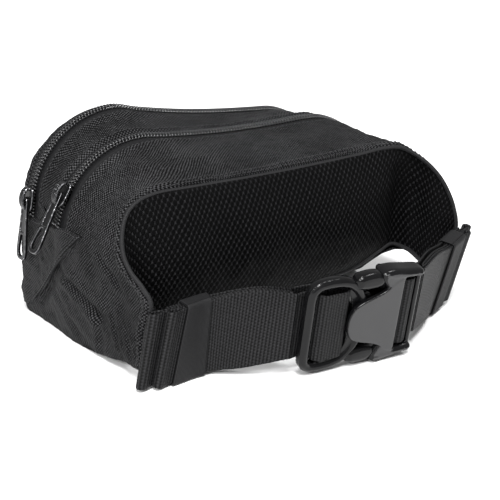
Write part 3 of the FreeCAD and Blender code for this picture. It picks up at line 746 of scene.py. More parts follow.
def share_at(depth, height, near):
    """Share of the outline at which it passes a height, on one side."""
    side = slice(None, AROUND // 3) if near else slice(-(AROUND // 3), None)
    return SHARES[side][np.argmin(np.abs(outline(depth, SHARES)[side, 2] - height))]


def between(depths, low, high, count=None):
    """Grid of the pouch between two shares of the outline."""
    shares = np.linspace(low, high, count or max(20, int((high - low) * AROUND)))
    return np.array([outline(depth, shares) for depth in depths])


thread_rows = []


def sew(moved, normal, axis, from_end, inset):
    """Stitches that follow a grid's edge at a distance inside it."""
    if axis == 1:
        moved, normal = moved.swapaxes(0, 1), normal.swapaxes(0, 1)
    rows = np.argmin(np.abs(edge_distance(moved, 0, from_end) - inset * MM), axis=0)
    columns = np.arange(moved.shape[1])
    padded = np.pad(moved[rows, columns], ((2, 2), (0, 0)), mode="edge")
    path = np.stack([np.convolve(values, np.ones(5) / 5, mode="valid") for values in padded.T], axis=-1)
    thread_rows.append(stitches("thread", path, normal[rows, columns]))


near_front, far_front, near_main, far_main = (
    share_at(depth, height, near)
    for depth, height in ((FRONT_ZIP_Y, ZIP_END_Z["front"]), (MAIN_ZIP_Y, ZIP_END_Z["main"]))
    for near in (True, False))


def steps(start, end, pitch=1.3):
    """Evenly spaced values from start to end."""
    return np.linspace(start, end, max(3, int(abs(end - start) / pitch) + 1))


def make_pouch():
    """Cloth of the pouch, panel by panel."""
    panel("middle_gusset", between(steps(FRONT_ZIP_Y + ZIP_HALF, MAIN_ZIP_Y - ZIP_HALF), near_main, far_main),
          [edge(0, False), edge(0, True)], [(0, False, TOP_INSET), (0, True, TOP_INSET)], ["middle_gusset"])
    panel("front_band", between(steps(FRONT_EDGE_Y, FRONT_ZIP_Y - ZIP_HALF, 0.8), near_front, far_front),
          [edge(0, True)], [(0, True, TOP_INSET)], ["front_band"])
    sides = (("left", 0.0, near_front, near_main), ("right", 1.0, far_front, far_main))
    for name, hem_share, front, main in sides:
        fitting = {"seams": [edge(1, True, tuck=0.5, lip=0.3)], "threads": [(1, True, END_INSET)]}
        front_depths = steps(FRONT_EDGE_Y, FRONT_ZIP_Y + ZIP_HALF, 0.9)
        panel("end_front_" + name, between(front_depths, hem_share, front, 60), **fitting)
        rear_depths = steps(FRONT_ZIP_Y + ZIP_HALF, MAIN_ZIP_Y + ZIP_HALF)
        rear_part = between(rear_depths, hem_share, main, 70)
        panel("end_" + name, rear_part, nodes=["end_panel_" + name], **fitting)
    make_rear_cloth()
    make_front_panel()
    make_divider()
    make_underside()
    make_end_tab("left", True)
    make_end_tab("right", False)


def make_rear_cloth():
    """One sheet from the main zip over the top and both sides, out to the wing tips."""
    fade = 0.02         # share of the outline over which the zip's seam dies out
    ends = smoothstep(near_main - fade, near_main, SHARES)
    ends = ends * (1 - smoothstep(far_main, far_main + fade, SHARES))
    piece, moved, normal = panel("rear_cloth", rear_grid(70),
                                 [edge(0, False, ends[None, :]), edge(0, True, tuck=1.0, lip=1.4)],
                                 nodes=["rear_gusset", "wing_fabric_left", "wing_fabric_right"])
    lay_weave(piece, moved)
    top = slice(int(near_main * AROUND), int(far_main * AROUND))
    sew(moved[:, top], normal[:, top], 0, False, TOP_INSET)
    for inset in (3.0, 5.2):
        sew(moved, normal, 0, True, inset)
    make_piping("rim_binding", moved[-1], 1.15)


WEAVE_CENTRE = 30.0     # height that the outline is taken to turn about


def lay_weave(piece, points):
    """Weave that runs straight front to back and round the outline, whatever way the grid fans out."""
    line = outline(SECTION_DEPTHS[-1], SHARES)
    turn = np.unwrap(np.arctan2(line[:, 2] - WEAVE_CENTRE, line[:, 0]))
    place = np.arctan2(points[..., 2] / MM - WEAVE_CENTRE, points[..., 0] / MM)
    place = np.where(place < -math.pi / 2, place + 2 * math.pi, place)
    around = np.interp(place, turn, lengths(line)) * MM
    top = smoothstep(0.28, 0.40, SHARES) * (1 - smoothstep(0.62, 0.74, SHARES))
    back = points[..., 1] + (points[:1, :, 2] - points[..., 2]) * top * 0.6
    set_uv(piece.data, np.stack([around, back], axis=-1))


def make_piping(name, path, radius):
    settle(tube(name, path, radius * MM, BAND, 10), "pack", "pack_cloth")


# middle of each closed wall, across and up
FRONT_CENTRE, DIVIDER_CENTRE = (2.0, 46.0), (2.0, 40.0)
DIVIDER_SHARE = 0.93    # the divider's size against the outline round it
FRONT_CROWN = 4.5
FRONT_BINDING = 1.3


def closed_loop(depth, count):
    """Outline at a depth, closed along the floor."""
    line = outline(depth, np.linspace(0, 1, count))
    return np.concatenate([line, np.linspace(line[-1], line[0], 60)[1:-1], line[:1]])


def make_front_panel():
    """Crowned outer front, seamed to the band all round."""
    loop = closed_loop(FRONT_EDGE_Y, 161)
    centre = np.array([FRONT_CENTRE[0], FRONT_EDGE_Y, FRONT_CENTRE[1]])
    rings = np.linspace(0, 1, 50)[:, None]
    grid = centre + (loop - centre) * (1 - rings[..., None])
    grid[..., 1] = FRONT_EDGE_Y - FRONT_CROWN * (1 - (1 - rings) ** 2.2)
    piece, moved = panel("front_panel", grid, [edge(0, False)], [(0, False, TOP_INSET)],
                         ["front_panel"], calm=0.2)[:2]
    set_uv(piece.data, moved[..., [0, 2]])
    binding = grid[0] * MM
    binding[:, 2] = np.maximum(binding[:, 2], (FRONT_BINDING + FLOOR_GAP) * MM)
    make_piping("front_binding", binding, FRONT_BINDING)


def make_divider():
    """Wall between the two pockets, hanging a little inside the outer cloth."""
    low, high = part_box("divider_panel")
    depth = (low[1] + high[1]) / 2 / MM
    loop = closed_loop(depth, 121)
    centre = np.array([DIVIDER_CENTRE[0], depth, DIVIDER_CENTRE[1]])
    grid = centre + (loop - centre) * np.linspace(1, 0, 40)[:, None, None] * DIVIDER_SHARE
    piece, moved = panel("divider", grid, nodes=["divider_panel"], calm=0.7, material=BAND)[:2]
    set_uv(piece.data, moved[..., [0, 2]])


# on each end: depth and the height of the tab's upper edge, then the ends of its slanting edge
TAB_TOP = [(-61, 57.5), (-52, 58.5), (-37, 59.5), (-13, 64.5), (5, 67.0), (24, 67.5)]
TAB_FOOT, TAB_CORNER, TAB_START = (-50.0, 5.0), 23.0, -60.5
TAB_LIFT = 1.1
TAB_ROWS, TAB_COLUMNS = 100, 120


def make_end_tab(name, near):
    """Cloth of the end turned over and sewn down along a slanting edge below the zips."""
    front = np.array([outline(depth, SHARES) for depth in steps(FRONT_EDGE_Y, 2.0)])
    whole = np.concatenate([front, rear_grid(60)])
    if not near:
        whole = whole[:, ::-1]
    columns = whole[:, :int(near_main * AROUND) + 12:4].transpose(1, 2, 0)
    grid = []
    for height in np.linspace(0, 1, TAB_ROWS):
        end = TAB_FOOT[0] + (TAB_CORNER - TAB_FOOT[0]) * height
        for depth in np.linspace(TAB_START, end, TAB_COLUMNS):
            z = TAB_FOOT[1] + (np.interp(depth, *zip(*TAB_TOP)) - TAB_FOOT[1]) * height
            across = [np.interp(depth, column[1], column[0]) for column in columns]
            level = [np.interp(depth, column[1], column[2]) for column in columns]
            grid.append((np.interp(z, level, across), depth, z))
    grid = np.array(grid).reshape(TAB_ROWS, TAB_COLUMNS, 3)
    grid[..., 0] += TAB_LIFT * np.sign(grid[..., 0])
    fine = {"tuck": 0.8, "width": 0.7, "lip": 0.5}
    piece, moved = panel("end_tab_" + name, grid, [edge(0, True, **fine), edge(1, True, **fine)],
                         [(0, True, END_INSET), (1, True, END_INSET)])[:2]
    set_uv(piece.data, moved[..., [1, 2]])


def hem(depth, rear):
    """Place across and height of both hems at a depth."""
    if depth <= SECTION_DEPTHS[-1]:
        return outline(depth, [0.0, 1.0])[:, [0, 2]]
    return [sample(rear[:, column][:, [0, 2]], rear[:, column, 1], [depth])[0] for column in (0, -1)]


def make_underside():
    """Flat bottom that rises behind to meet the padded back, hem to hem."""
    rear = rear_grid(60)
    across = np.linspace(1, 0, 90)
    middle = np.sin(math.pi * across) ** 0.35
    rows = []
    for depth in np.concatenate([steps(FRONT_EDGE_Y, 4.0, 1.6), steps(5.5, BACK_Y + 1, 1.2)]):
        near_hem, far_hem = hem(depth, rear)
        x = far_hem[0] + (near_hem[0] - far_hem[0]) * across
        level = far_hem[1] * (1 - across) ** 1.6 + near_hem[1] * across ** 1.6
        rise = smoothstep(FLAT_END_Y, BACK_Y, depth) * np.interp(x, PAD_FOOT_ACROSS, PAD_FOOT_HEIGHT)
        z = level + (np.maximum(rise - level, 0)) * middle
        rows.append(np.stack([x, np.full(len(x), depth), np.maximum(z, 0.3)], axis=-1))
    settle(sheet_mesh("underside", np.array(rows) * MM, CLOTH), "pack", "pack_cloth", "underside_panel")


# ---- padded back and wings ---------------------------------------

# lower edge of the padded back, near wing tip to far wing tip, with how far the pad stands out there
PAD_FOOT = [
    (97.0, 71.0, 9, 2.0), (95.6, 62.0, 6, 4.5), (94.0, 53.0, 4.5, 3.5), (92.0, 47.5, 6, 0.5),
    (88.0, 46.0, 11, 3.0), (78.0, 46.2, 15, 7.0), (60.0, 46.5, 16.5, 9.0), (30.0, 46.5, 17, 9.5),
    (0.0, 46.5, 18, 9.5), (-30.0, 46.5, 20, 9.0), (-60.0, 46.0, 23, 7.0), (-78.0, 45.0, 28.5, 4.0),
    (-89.0, 43.5, 30, -0.5), (-97.0, 46.5, 26.5, -3.5), (-105.0, 53.5, 18, 1.5), (-111.0, 61.5, 14, 2.5),
    (-113.0, 66.0, 11, 1.0),
]
PAD_FOOT_ACROSS = [row[0] for row in PAD_FOOT[::-1]]
PAD_FOOT_HEIGHT = [row[2] for row in PAD_FOOT[::-1]]
PAD_TOP_SHARES = [
    0.075, 0.135, 0.215, 0.275, 0.315, 0.360, 0.415, 0.470, 0.530, 0.590, 0.650, 0.688,
    0.715, 0.740, 0.800, 0.870, 0.915,
]
PAD_ROWS, PAD_COLUMNS = 121, 321
PAD_WEAVE_LENGTH = 0.285        # length over which the mesh's holes are laid out
PAD_DENT = 0.9


def make_pad():
    """Foam back and the insides of both wings under one sheet of spacer mesh."""
    foot = np.array(PAD_FOOT, float)
    places = np.linspace(0, 1, PAD_COLUMNS)
    knots = chord(foot[:, :3] * 0.5 + rim(PAD_TOP_SHARES) * 0.5)
    low = spline(knots, foot[:, :3], places)
    bulge = spline(knots, foot[:, 3], places)
    high = rim(np.interp(places, knots, PAD_TOP_SHARES))
    height = np.linspace(0, 1, PAD_ROWS)[:, None]
    plan = np.gradient(low * 0.5 + high * 0.5, axis=0)
    facing = -unit(np.stack([-plan[:, 1], plan[:, 0], np.zeros(PAD_COLUMNS)], axis=-1))
    swell = np.sin(math.pi * height) ** 0.7
    points = (low + (high - low) * height[..., None] + facing * (bulge * swell)[..., None]) * MM
    from_foot = edge_distance(points, 0, False)
    calm = smoothstep(0, 10 * MM, np.minimum(from_foot, edge_distance(points, 0, True)))
    points = points + facing * (PAD_DENT * MM * ripple(points, 30 * MM, (1, 1, 1), 12.0) * calm)[..., None]
    along = np.broadcast_to(places * PAD_WEAVE_LENGTH, from_foot.shape)
    flat = np.stack([along, edge_distance(points, 0, False)], axis=-1)
    piece = sheet_mesh("back_padding", points[::-1], SPACER, flat[::-1])
    settle(piece, "pack", "spacer_mesh", "back_foam", "back_mesh", "wing_foam_left", "wing_foam_right",
           "wing_mesh_left", "wing_mesh_right", "back_lining")
    make_piping("pad_foot_binding", smooth_curve(points[0], 160), 1.3)


# ---- zips --------------------------------------------------------

COIL_PITCH = 1.95
COIL_RISE = 0.95
COIL_WIRE = 0.42
COIL_MIDDLE, COIL_SWING = 1.55, 1.35    # a coil's middle from the zip's own, and its half width
TAPE_OFFSETS = np.linspace(0.3, ZIP_HALF + 1.2, 12)
TAPE_DROP = -0.5 - 0.9 * (TAPE_OFFSETS > ZIP_HALF - 0.8) - 0.25 * np.cos((TAPE_OFFSETS - 3) * 1.3)


def zip_path(depth, low, high):
    """Middle line of a zip, evenly spaced, with outward normals, in metres."""
    line = outline(depth, np.linspace(low, high, 400)) * MM
    line = spread(line, int(lengths(line)[-1] / (0.5 * MM)))
    normal = np.cross(unit(np.gradient(line, axis=0)), [0, 1, 0])
    return line, normal * np.sign(normal[len(normal) // 2, 2])


def make_zip(name, depth, low, high):
    line, normal = zip_path(depth, low, high)
    turns = lengths(line)[-1] / MM / COIL_PITCH
    places = np.linspace(0, 1, int(turns * 12))
    centre, up = sample(line, chord(line), places), sample(normal, chord(line), places)
    tapes, coils = [], []
    for sign in (1, -1):
        grid = np.array([line + np.array([0, sign * offset * MM, 0]) + normal * drop * MM
                         for offset, drop in zip(TAPE_OFFSETS, TAPE_DROP)])
        tapes.append(sheet_mesh("tape", grid, TAPE))
        angle = places * turns * 2 * math.pi + (0 if sign > 0 else math.pi)
        sideways = sign * (COIL_MIDDLE + COIL_SWING * np.cos(angle))
        lift = 0.25 + COIL_RISE * 0.75 * np.sin(angle)
        path = centre + np.array([0, 1, 0]) * sideways[:, None] * MM + up * lift[:, None] * MM
        coils.append(tube("coil", path, COIL_WIRE * MM, COIL, 5))
    settle(join(name + "_tape", tapes), "pack", "zip_tape", name + "_zip_tapes")
    settle(join(name + "_coil", coils), "pack", "zip_coil", name + "_zip_coils")


# ---- belt --------------------------------------------------------

WEB_HEIGHT, WEB_THICK, WEB_GAP = 40.0, 1.3, 0.25
STACK = 5 * WEB_THICK + 4 * WEB_GAP
KEEPER_STATIONS = (2, 3)        # the keeper lies between these two stations of its route
FOLD_REACH = (17.0, 9.0)        # how far the two folds poke out past the keeper
FOLD_RADIUS, FOLD_TAPER = 2.1, 5.0      # how fat the folded ends stand, and over what length
BASE_REACH = 8          # base strap past the keeper, into the wing's tip
TURN_PLACE, TURN_RUN = 2.3, 2.6         # where the strap turns back at the buckle's end
KEEPER_GAP, KEEPER_THICK, KEEPER_CORNER, KEEPER_INSET = 0.85, 1.2, 1.5, 0.8
BLEND_DEPTH = 4.0       # middle of the stack, where two points of the left strap are taken
BUCKLE_YAW, BUCKLE_LEAN = math.radians(6.8), math.radians(12.5)
BUCKLE_FOOT = np.array([28.0, 106.0, 1.3])
BUCKLE_HALF, BUCKLE_LENGTH = 28.0, 69.0
LEVEL = np.array([math.sin(BUCKLE_YAW), math.cos(BUCKLE_YAW), 0])
BUCKLE_U = np.array([-math.cos(BUCKLE_YAW), math.sin(BUCKLE_YAW), 0])
BUCKLE_V = np.array([0, 0, 1]) * math.cos(BUCKLE_LEAN) + LEVEL * math.sin(BUCKLE_LEAN)
BUCKLE_W = LEVEL * math.cos(BUCKLE_LEAN) - np.array([0, 0, 1]) * math.sin(BUCKLE_LEAN)
BUCKLE_ORIGIN = BUCKLE_FOOT + BUCKLE_V * BUCKLE_HALF
BAR_BACK = -2.4         # back of the bars that the strap passes behind
STACK_BACK = BAR_BACK - WEB_GAP - STACK
LOOP_TAIL, STRAP_START = 3.6, 0.4
LOOP_FRONT = 3.3        # how far the strap stands out where it lies over a bar


def buckle_point(u, v, w):
    """A point given in the buckle's own directions, in millimetres."""
    u, v, w = (np.asarray(value, float)[..., None] for value in (u, v, w))
    return BUCKLE_ORIGIN + BUCKLE_U * u + BUCKLE_V * v + BUCKLE_W * w


class Route:
    """Where a strap runs, from the buckle to the wing."""

    def __init__(self, stations):
        self.foot = np.array([foot for foot, up in stations], float)
        self.reach = lengths(self.foot)
        ups, outs = [], []
        for index, (foot, up) in enumerate(stations):
            along = self.foot[min(index + 1, len(self.foot) - 1)] - self.foot[max(index - 1, 0)]
            along = unit(along)
            across = np.array(up, float) - along * (np.array(up, float) @ along)
            ups.append(np.array(up, float) / np.linalg.norm(across))
            out = np.cross(along, across)
            outs.append(unit(out) * (1 if out[1] > 0 else -1))
        ups[0], outs[0] = BUCKLE_V, BUCKLE_W
        self.up, self.out = np.array(ups), np.array(outs)

    def point(self, distance, height, depth):
        """A point at a distance along the strap, a height up it and a depth out of it."""
        foot, up, out = (spline(self.reach, values, distance) for values in (self.foot, self.up, self.out))
        return foot + up * np.asarray(height, float)[..., None] + out * np.asarray(depth, float)[..., None]


LEFT_ROUTE = Route([
    (buckle_point(-LOOP_TAIL - STRAP_START, -WEB_HEIGHT / 2, STACK_BACK), BUCKLE_V),
    ((46, 85.5, 4.5), (-0.14, 0.05, 1)),
    ((64, 72.5, 2.3), (-0.08, 0.05, 1)),
    ((88, 72.9, 2.1), (-0.22, 0.05, 1)),
    ((112, 73.3, 1.9), (-0.16, 0.05, 1)),
])
RIGHT_ROUTE = Route([
    (buckle_point(BUCKLE_LENGTH + LOOP_TAIL + STRAP_START, -WEB_HEIGHT / 2, STACK_BACK), BUCKLE_V),
    ((-62, 93.5, 7.0), (-0.15, 0.08, 1)),
    ((-77, 81.5, 4.2), (-0.32, 0.06, 1)),
    ((-92, 74.3, 4.3), (-0.36, 0.04, 1)),
    ((-107, 67.1, 4.4), (-0.36, 0.04, 1)),
])

# a strap's edge: how far in from it, and how full the thickness is there
EDGE_INSET = np.array([0.0, 0.12, 0.35, 0.7])
EDGE_FULL = np.sqrt(np.clip(1 - (1 - EDGE_INSET / 0.7) ** 2, 0, 1))
FACE_ROWS, FACE_INSET = 24, 1.6


def ribbon(name, path, place, material, thickness=WEB_THICK, span=(0.0, WEB_HEIGHT)):
    """Strap of rounded section: a flat path in two directions, carried across its width.

    place(a, b, c) gives the point for path coordinates a, c and width coordinate b.
    """
    path = np.asarray(path, float)
    tangent = unit(np.gradient(path, axis=0))
    side = np.stack([-tangent[:, 1], tangent[:, 0]], axis=-1)
    low, high = span
    face = np.linspace(low + FACE_INSET, high - FACE_INSET, FACE_ROWS)
    width = np.concatenate([low + EDGE_INSET, face, high - EDGE_INSET[::-1]])
    shape = np.concatenate([EDGE_FULL, np.ones(FACE_ROWS), EDGE_FULL[::-1]])
    rows = []
    for sign in (1, -1):
        for across, fill in zip(width[::sign], shape[::sign]):
            centre = path + side * sign * (thickness / 2) * fill
            rows.append(place(centre[:, 0], np.full(len(path), across), centre[:, 1]))
    grid = np.array(rows) * MM
    uv = np.stack(np.meshgrid(lengths(path) * MM, np.concatenate([width, width[::-1] + 0.4]) * MM), axis=-1)
    count, columns = grid.shape[:2]
    faces = grid_faces(count, columns, wrap=True)
    for column in (0, columns - 1):
        for row in range(count // 2 - 1):
            a, b = row * columns + column, (row + 1) * columns + column
            c, d = (count - 1 - row) * columns + column, (count - 2 - row) * columns + column
            faces.append((a, b, d, c) if column else (c, d, b, a))
    return finish_mesh(name, grid.reshape(-1, 3), faces, uv, material)


def fold(distance, first, second):
    """Teardrop that joins two layers at a distance, from the first depth to the second."""
    middle = (first + second) / 2
    swing = np.sign(second - first)
    bend = []
    for step in np.linspace(0, 1, 7)[1:-1]:
        depth = first + (middle - swing * FOLD_RADIUS - first) * smoothstep(0, 1, step)
        bend.append((distance - FOLD_RADIUS - FOLD_TAPER * (1 - step), depth))
    centre = distance - FOLD_RADIUS
    tip = [(centre + FOLD_RADIUS * math.cos(angle), middle + swing * FOLD_RADIUS * math.sin(angle))
           for angle in np.linspace(-math.pi / 2, math.pi / 2, 13)]
    return bend + tip + [(place, 2 * middle - depth) for place, depth in bend[::-1]]


def turn_back(distance, first, second):
    """Tight half circle at the buckle's end, from the first depth to the second."""
    middle, radius = (first + second) / 2, abs(second - first) / 2
    swing = np.sign(second - first)
    return [(distance - radius * 1.3 * math.cos(angle), middle + swing * radius * math.sin(angle))
            for angle in np.linspace(-math.pi / 2, math.pi / 2, 9)]


def run(start, end, depth):
    return [(value, depth) for value in steps(start, end, 1.2)]


def belt_side(name, route):
    """Folded strap, base strap and elastic keeper of one side."""
    start, end = (route.reach[station] for station in KEEPER_STATIONS)
    long_fold, short_fold = (end + reach for reach in FOLD_REACH)
    long_run, short_run = (place - (FOLD_RADIUS + FOLD_TAPER + 0.4) for place in (long_fold, short_fold))
    base, first, second, third, outer = (layer * (WEB_THICK + WEB_GAP) + WEB_THICK / 2 for layer in range(5))
    path = run(0.0, short_run, outer) + fold(short_fold, outer, third) + run(short_run, TURN_RUN, third)
    path += turn_back(TURN_PLACE, third, second) + run(TURN_RUN, long_run, second)
    path += fold(long_fold, second, first) + run(long_run, start + 2, first)
    straps = (("strap_", path, ["webbing_span_" + name, "webbing_tail_" + name]),
              ("strap_base_", run(0.0, end + BASE_REACH, base), ["webbing_base_" + name]))
    for prefix, line, nodes in straps:
        piece = ribbon(prefix + name, line, route.point, WEBBING)
        if name == "left":
            settle(piece, None, "webbing", *nodes)
            still, moving = (tuple(Vector(route.point([place], [WEB_HEIGHT / 2], [BLEND_DEPTH])[0]) * MM)
                             for place in (start - 2, 1.0))
            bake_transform(piece)
            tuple(still)
            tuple(moving)
        else:
            settle(piece, "pack", "webbing", *nodes)
    make_keeper("keeper_" + name, route, (start + KEEPER_INSET, end - KEEPER_INSET))


def make_keeper(name, route, span):
    """Elastic loop round the stack, with rounded corners."""
    corner = KEEPER_CORNER
    low, high = -KEEPER_GAP + corner, WEB_HEIGHT + KEEPER_GAP - corner
    inner, outer = -KEEPER_GAP + corner, STACK + KEEPER_GAP - corner
    loop = []
    for quarter, (height, depth) in enumerate([(high, outer), (low, outer), (low, inner), (high, inner)]):
        for angle in np.radians(np.linspace(90 * quarter, 90 * quarter + 90, 7)):
            loop.append((height + corner * math.cos(angle), depth + corner * math.sin(angle)))
    loop = spread(np.array(loop + loop[:1]), 181)

    def place(a, b, c):
        return route.point(b, a, c)

    settle(ribbon(name, loop, place, ELASTIC, KEEPER_THICK, span), name, "elastic", name)


def strap_loop(name, body, span, tail_end, sign):
    """Webbing from behind the outer bar, up over the inner bar and back behind."""
    near, far = span
    low = BAR_BACK - WEB_GAP - WEB_THICK / 2
    back = STACK_BACK + WEB_THICK / 2
    corners = np.array([
        (tail_end, low), (near - sign * 2.6, low), (near - sign * 0.4, 0.4),
        (near + sign * 1.6, LOOP_FRONT - 0.3), ((near + far) / 2, LOOP_FRONT + 0.25),
        (far - sign * 1.6, LOOP_FRONT - 0.3), (far + sign * 0.4, 0.0), (far - sign * 1.2, -4.2),
        (near - sign * 1.5, back + 0.2), (tail_end, back),
    ])
    path = spline(chord(corners), corners, np.linspace(0, 1, 70))

    def place(a, b, c):
        return buckle_point(a, b - WEB_HEIGHT / 2, c)

    settle(ribbon("strap_loop_" + name, path, place, WEBBING), body, "webbing", "webbing_loop_" + name)


def make_belt():
    belt_side("left", LEFT_ROUTE)
    belt_side("right", RIGHT_ROUTE)
    strap_loop("left", "buckle_insert", (7.0, 24.4), -LOOP_TAIL, 1)
    strap_loop("right", "pack", (63.6, 56.4), BUCKLE_LENGTH + LOOP_TAIL, -1)


# ---- moulded and metal pieces ------------------------------------

def mesh_points(mesh):
    """Vertices of a mesh, in millimetres."""
    flat = np.zeros(len(mesh.vertices) * 3)
    mesh.vertices.foreach_get("co", flat)
    return flat.reshape(-1, 3) / MM


def modify(piece, kind, **settings):
    """Add a modifier to the active piece and apply it."""
    modifier = piece.modifiers.new(kind, kind)
    for key, value in settings.items():
        setattr(modifier, key, value)
    bpy.ops.object.modifier_apply(modifier=modifier.name)


def melt(name, pieces, voxel, smooth, material):
    """One skin round everything in the pieces, softened a little."""
    piece = join(name, pieces)
    modify(piece, "REMESH", mode="VOXEL", voxel_size=voxel * MM, use_smooth_shade=True)
    modify(piece, "SMOOTH", factor=0.5, iterations=smooth)
    piece.data.materials.clear()
    piece.data.materials.append(material)
    return piece


def make_stop(node):
    """The CAD stop with its edges softened as plating softens them."""
    source = frame["nodes"][node]
    piece = source.copy()
    piece.data = source.data.copy()
    piece.parent = None
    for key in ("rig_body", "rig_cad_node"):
        if key in piece:
            del piece[key]
    bpy.context.scene.collection.objects.link(piece)
    piece.hide_render = False
    settle(melt(node + "_moulded", [piece], 0.12, 2, METAL), "pack", "zip_metal", node)


def rounded_outline(points):
    """Closed outline with its corners cut again and again until they are round."""
    points = np.asarray(points, float)
    for _ in range(3):
        after = np.roll(points, -1, axis=0)
        points = np.stack([points * 0.75 + after * 0.25, points * 0.25 + after * 0.75], axis=1).reshape(-1, 2)
    return points


def flipped(points):
    return [(u, -v) for u, v in points]


def mirrored(points):
    """Outline completed by its own mirror image below the middle line."""
    return points + flipped([point for point in points[::-1] if point[1] != 0])


def plate(outlines, low, high, bevel, place=buckle_point):
    """Flat moulding with rounded edges in a part's own directions; outlines after the first are holes."""
    curve = bpy.data.curves.new("plate", "CURVE")
    curve.dimensions = "2D"
    curve.fill_mode = "BOTH"
    curve.extrude = ((high - low) / 2 - bevel) * MM
    curve.bevel_depth = bevel * MM
    curve.bevel_resolution = 3
    curve.offset = -bevel * MM
    for outline_points in outlines:
        points = rounded_outline(outline_points)
        line = curve.splines.new("POLY")
        line.points.add(len(points) - 1)
        for point, (u, v) in zip(line.points, points):
            point.co = (u * MM, v * MM, 0, 1)
        line.use_cyclic_u = True
    holder = bpy.data.objects.new("plate", curve)
    mesh = bpy.data.meshes.new_from_object(holder)
    bpy.data.objects.remove(holder)
    u, v, w = mesh_points(mesh).T
    mesh.vertices.foreach_set("co", (place(u, v, w + (low + high) / 2) * MM).ravel())
    piece = bpy.data.objects.new("plate", mesh)
    bpy.context.scene.collection.objects.link(piece)
    return piece


def moulded(name, parts, body, replaced, voxel=0.36, smooth=5, bars=()):
    """Plates and round bars melted into one moulding."""
    piece = melt(name, [plate(*part) for part in parts] + list(bars), voxel, smooth, GLOSS)
    for vertex in piece.data.vertices:
        vertex.co.z = max(vertex.co.z, FLOOR_GAP * MM)
    settle(piece, body, "buckle_plastic", replaced)
    return piece


def box(u0, u1, half):
    """Outline of a block that reaches as far to both sides of the middle line."""
    middle = (u0 + u1) / 2
    near = [(u0, -half), (u0, 0.0), (u0, half), (middle, half)]
    return near + [(u1, half), (u1, 0.0), (u1, -half), (middle, -half)]


# outlines in the buckle's own directions, from the outer bar inwards; the first ones are upper halves
MALE_RING = [
    (0, 0), (0, 10), (0, 18.4), (0.6, 22.8), (3.2, 25.6), (9, 27.2), (16, 27.2), (22, 25.6), (26.4, 22.4),
    (29.2, 18.0), (31.6, 11), (32.8, 4), (32.8, 0),
]
MALE_WINDOW = [
    (4.2, 0), (4.2, 10), (4.2, 19.0), (5.0, 21.8), (9, 22.4), (16, 22.2), (21.5, 20.4), (26.2, 15.2),
    (27.6, 8), (28.0, 2), (28.0, 0),
]
FRAME_LINE = [
    (2.4, 0), (2.4, 6), (2.4, 12), (2.4, 18), (3.0, 21.6), (5.4, 24.3), (9.5, 25.1), (15, 25.1), (20, 24.4),
    (24.5, 22.8), (27.5, 20.6),
]
MALE_WEB = [
    (30, 0), (30, 8), (29.4, 12.6), (33, 13.2), (37, 14.6), (38.6, 13.8), (40, 9), (43, 4), (47, 2.2),
    (47, 0),
]
PRONG = [
    (25.0, 19.6), (25.0, 21.6), (27.4, 24.6), (31.6, 25.0), (34.8, 26.4), (38.0, 27.0), (41.6, 26.6),
    (45.2, 24.6), (47.6, 20.5), (50.0, 15.2), (48.8, 13.0), (46.6, 14.4), (44.0, 16.6), (39.0, 16.8),
    (34.5, 17.8), (30.0, 19.0),
]
BARREL = [
    (26.8, 19.0), (26.8, 22.5), (28.2, 26.6), (34.4, 27.5), (40.6, 27.2), (44.8, 25.0), (45.6, 21.5),
    (43.6, 18.2), (39.0, 17.4), (32.4, 17.6),
]
FACE_PLATE = [
    (23.8, 0), (24.0, 3.5), (25.4, 7.6), (27.8, 10.4), (32.8, 12.6), (39.8, 14.8), (44.6, 16.8),
    (47.6, 19.2), (50.4, 21.4), (53.0, 22.4), (55.0, 22.4), (55.0, 12), (55.0, 0),
]
CHEEK = [
    (40.8, 26.2), (42.6, 27.6), (46.6, 28.1), (51.0, 27.8), (56.0, 26.8), (61.0, 26.0), (67.6, 25.0),
    (67.6, 21.4), (60, 21.4), (52.0, 21.4), (48.0, 21.4), (46.2, 21.8), (44.4, 24.0),
]
SHELL = [
    (41.4, 25.6), (43.2, 27.4), (47.0, 28.1), (55.0, 27.2), (56.6, 25.0), (56.6, 18.0), (55.5, 12.0),
    (50.0, 12.2), (47.4, 15.0), (44.4, 19.0), (42.2, 22.4),
]
END_BAR, INNER_BAR, END_WALL, MALE_BAR = (64.6, 67.6), (59.0, 61.8), (52.6, 54.4), (12.0, 15.0)
FRAME_RADIUS, FRAME_SQUEEZE, FRAME_CENTRE = 2.85, 1.3, 14.0
PRONG_BEND, PRONG_HEIGHT = (26.5, 34.0), 22.0       # two places along each prong, and the height, at which its points are taken
SATIN_FACING, SATIN_DEPTH = 0.93, 4.9               # the housing's flat face has the satin finish


# each moulding's outlines, its back and front, and how round its edges are
MALE_PARTS = [
    ([mirrored(MALE_RING), mirrored(MALE_WINDOW)], -1.9, 1.9, 0.8),
    ([mirrored(MALE_WEB)], -1.5, 1.5, 0.4),
    ([box(*MALE_BAR, 24)], -1.4, 1.4, 0.5),
]
PRONG_PARTS = [([PRONG], -2.7, 2.7, 1.6), ([BARREL], -4.6, 4.6, 3.6)]
FEMALE_PARTS = [
    ([mirrored(FACE_PLATE)], 2.9, 5.8, 0.7), ([mirrored(FACE_PLATE)], -5.8, -2.9, 0.7),
    ([CHEEK], -5.9, 5.9, 3.2), ([flipped(CHEEK)], -5.9, 5.9, 3.2),
    ([SHELL], -5.5, 5.5, 2.6), ([flipped(SHELL)], -5.5, 5.5, 2.6),
    ([box(*END_WALL, 25)], -4.5, 4.5, 0.4), ([box(*END_BAR, 25)], -2.5, 2.5, 1.2),
    ([box(*INNER_BAR, 25)], -1.4, 1.4, 0.5),
]


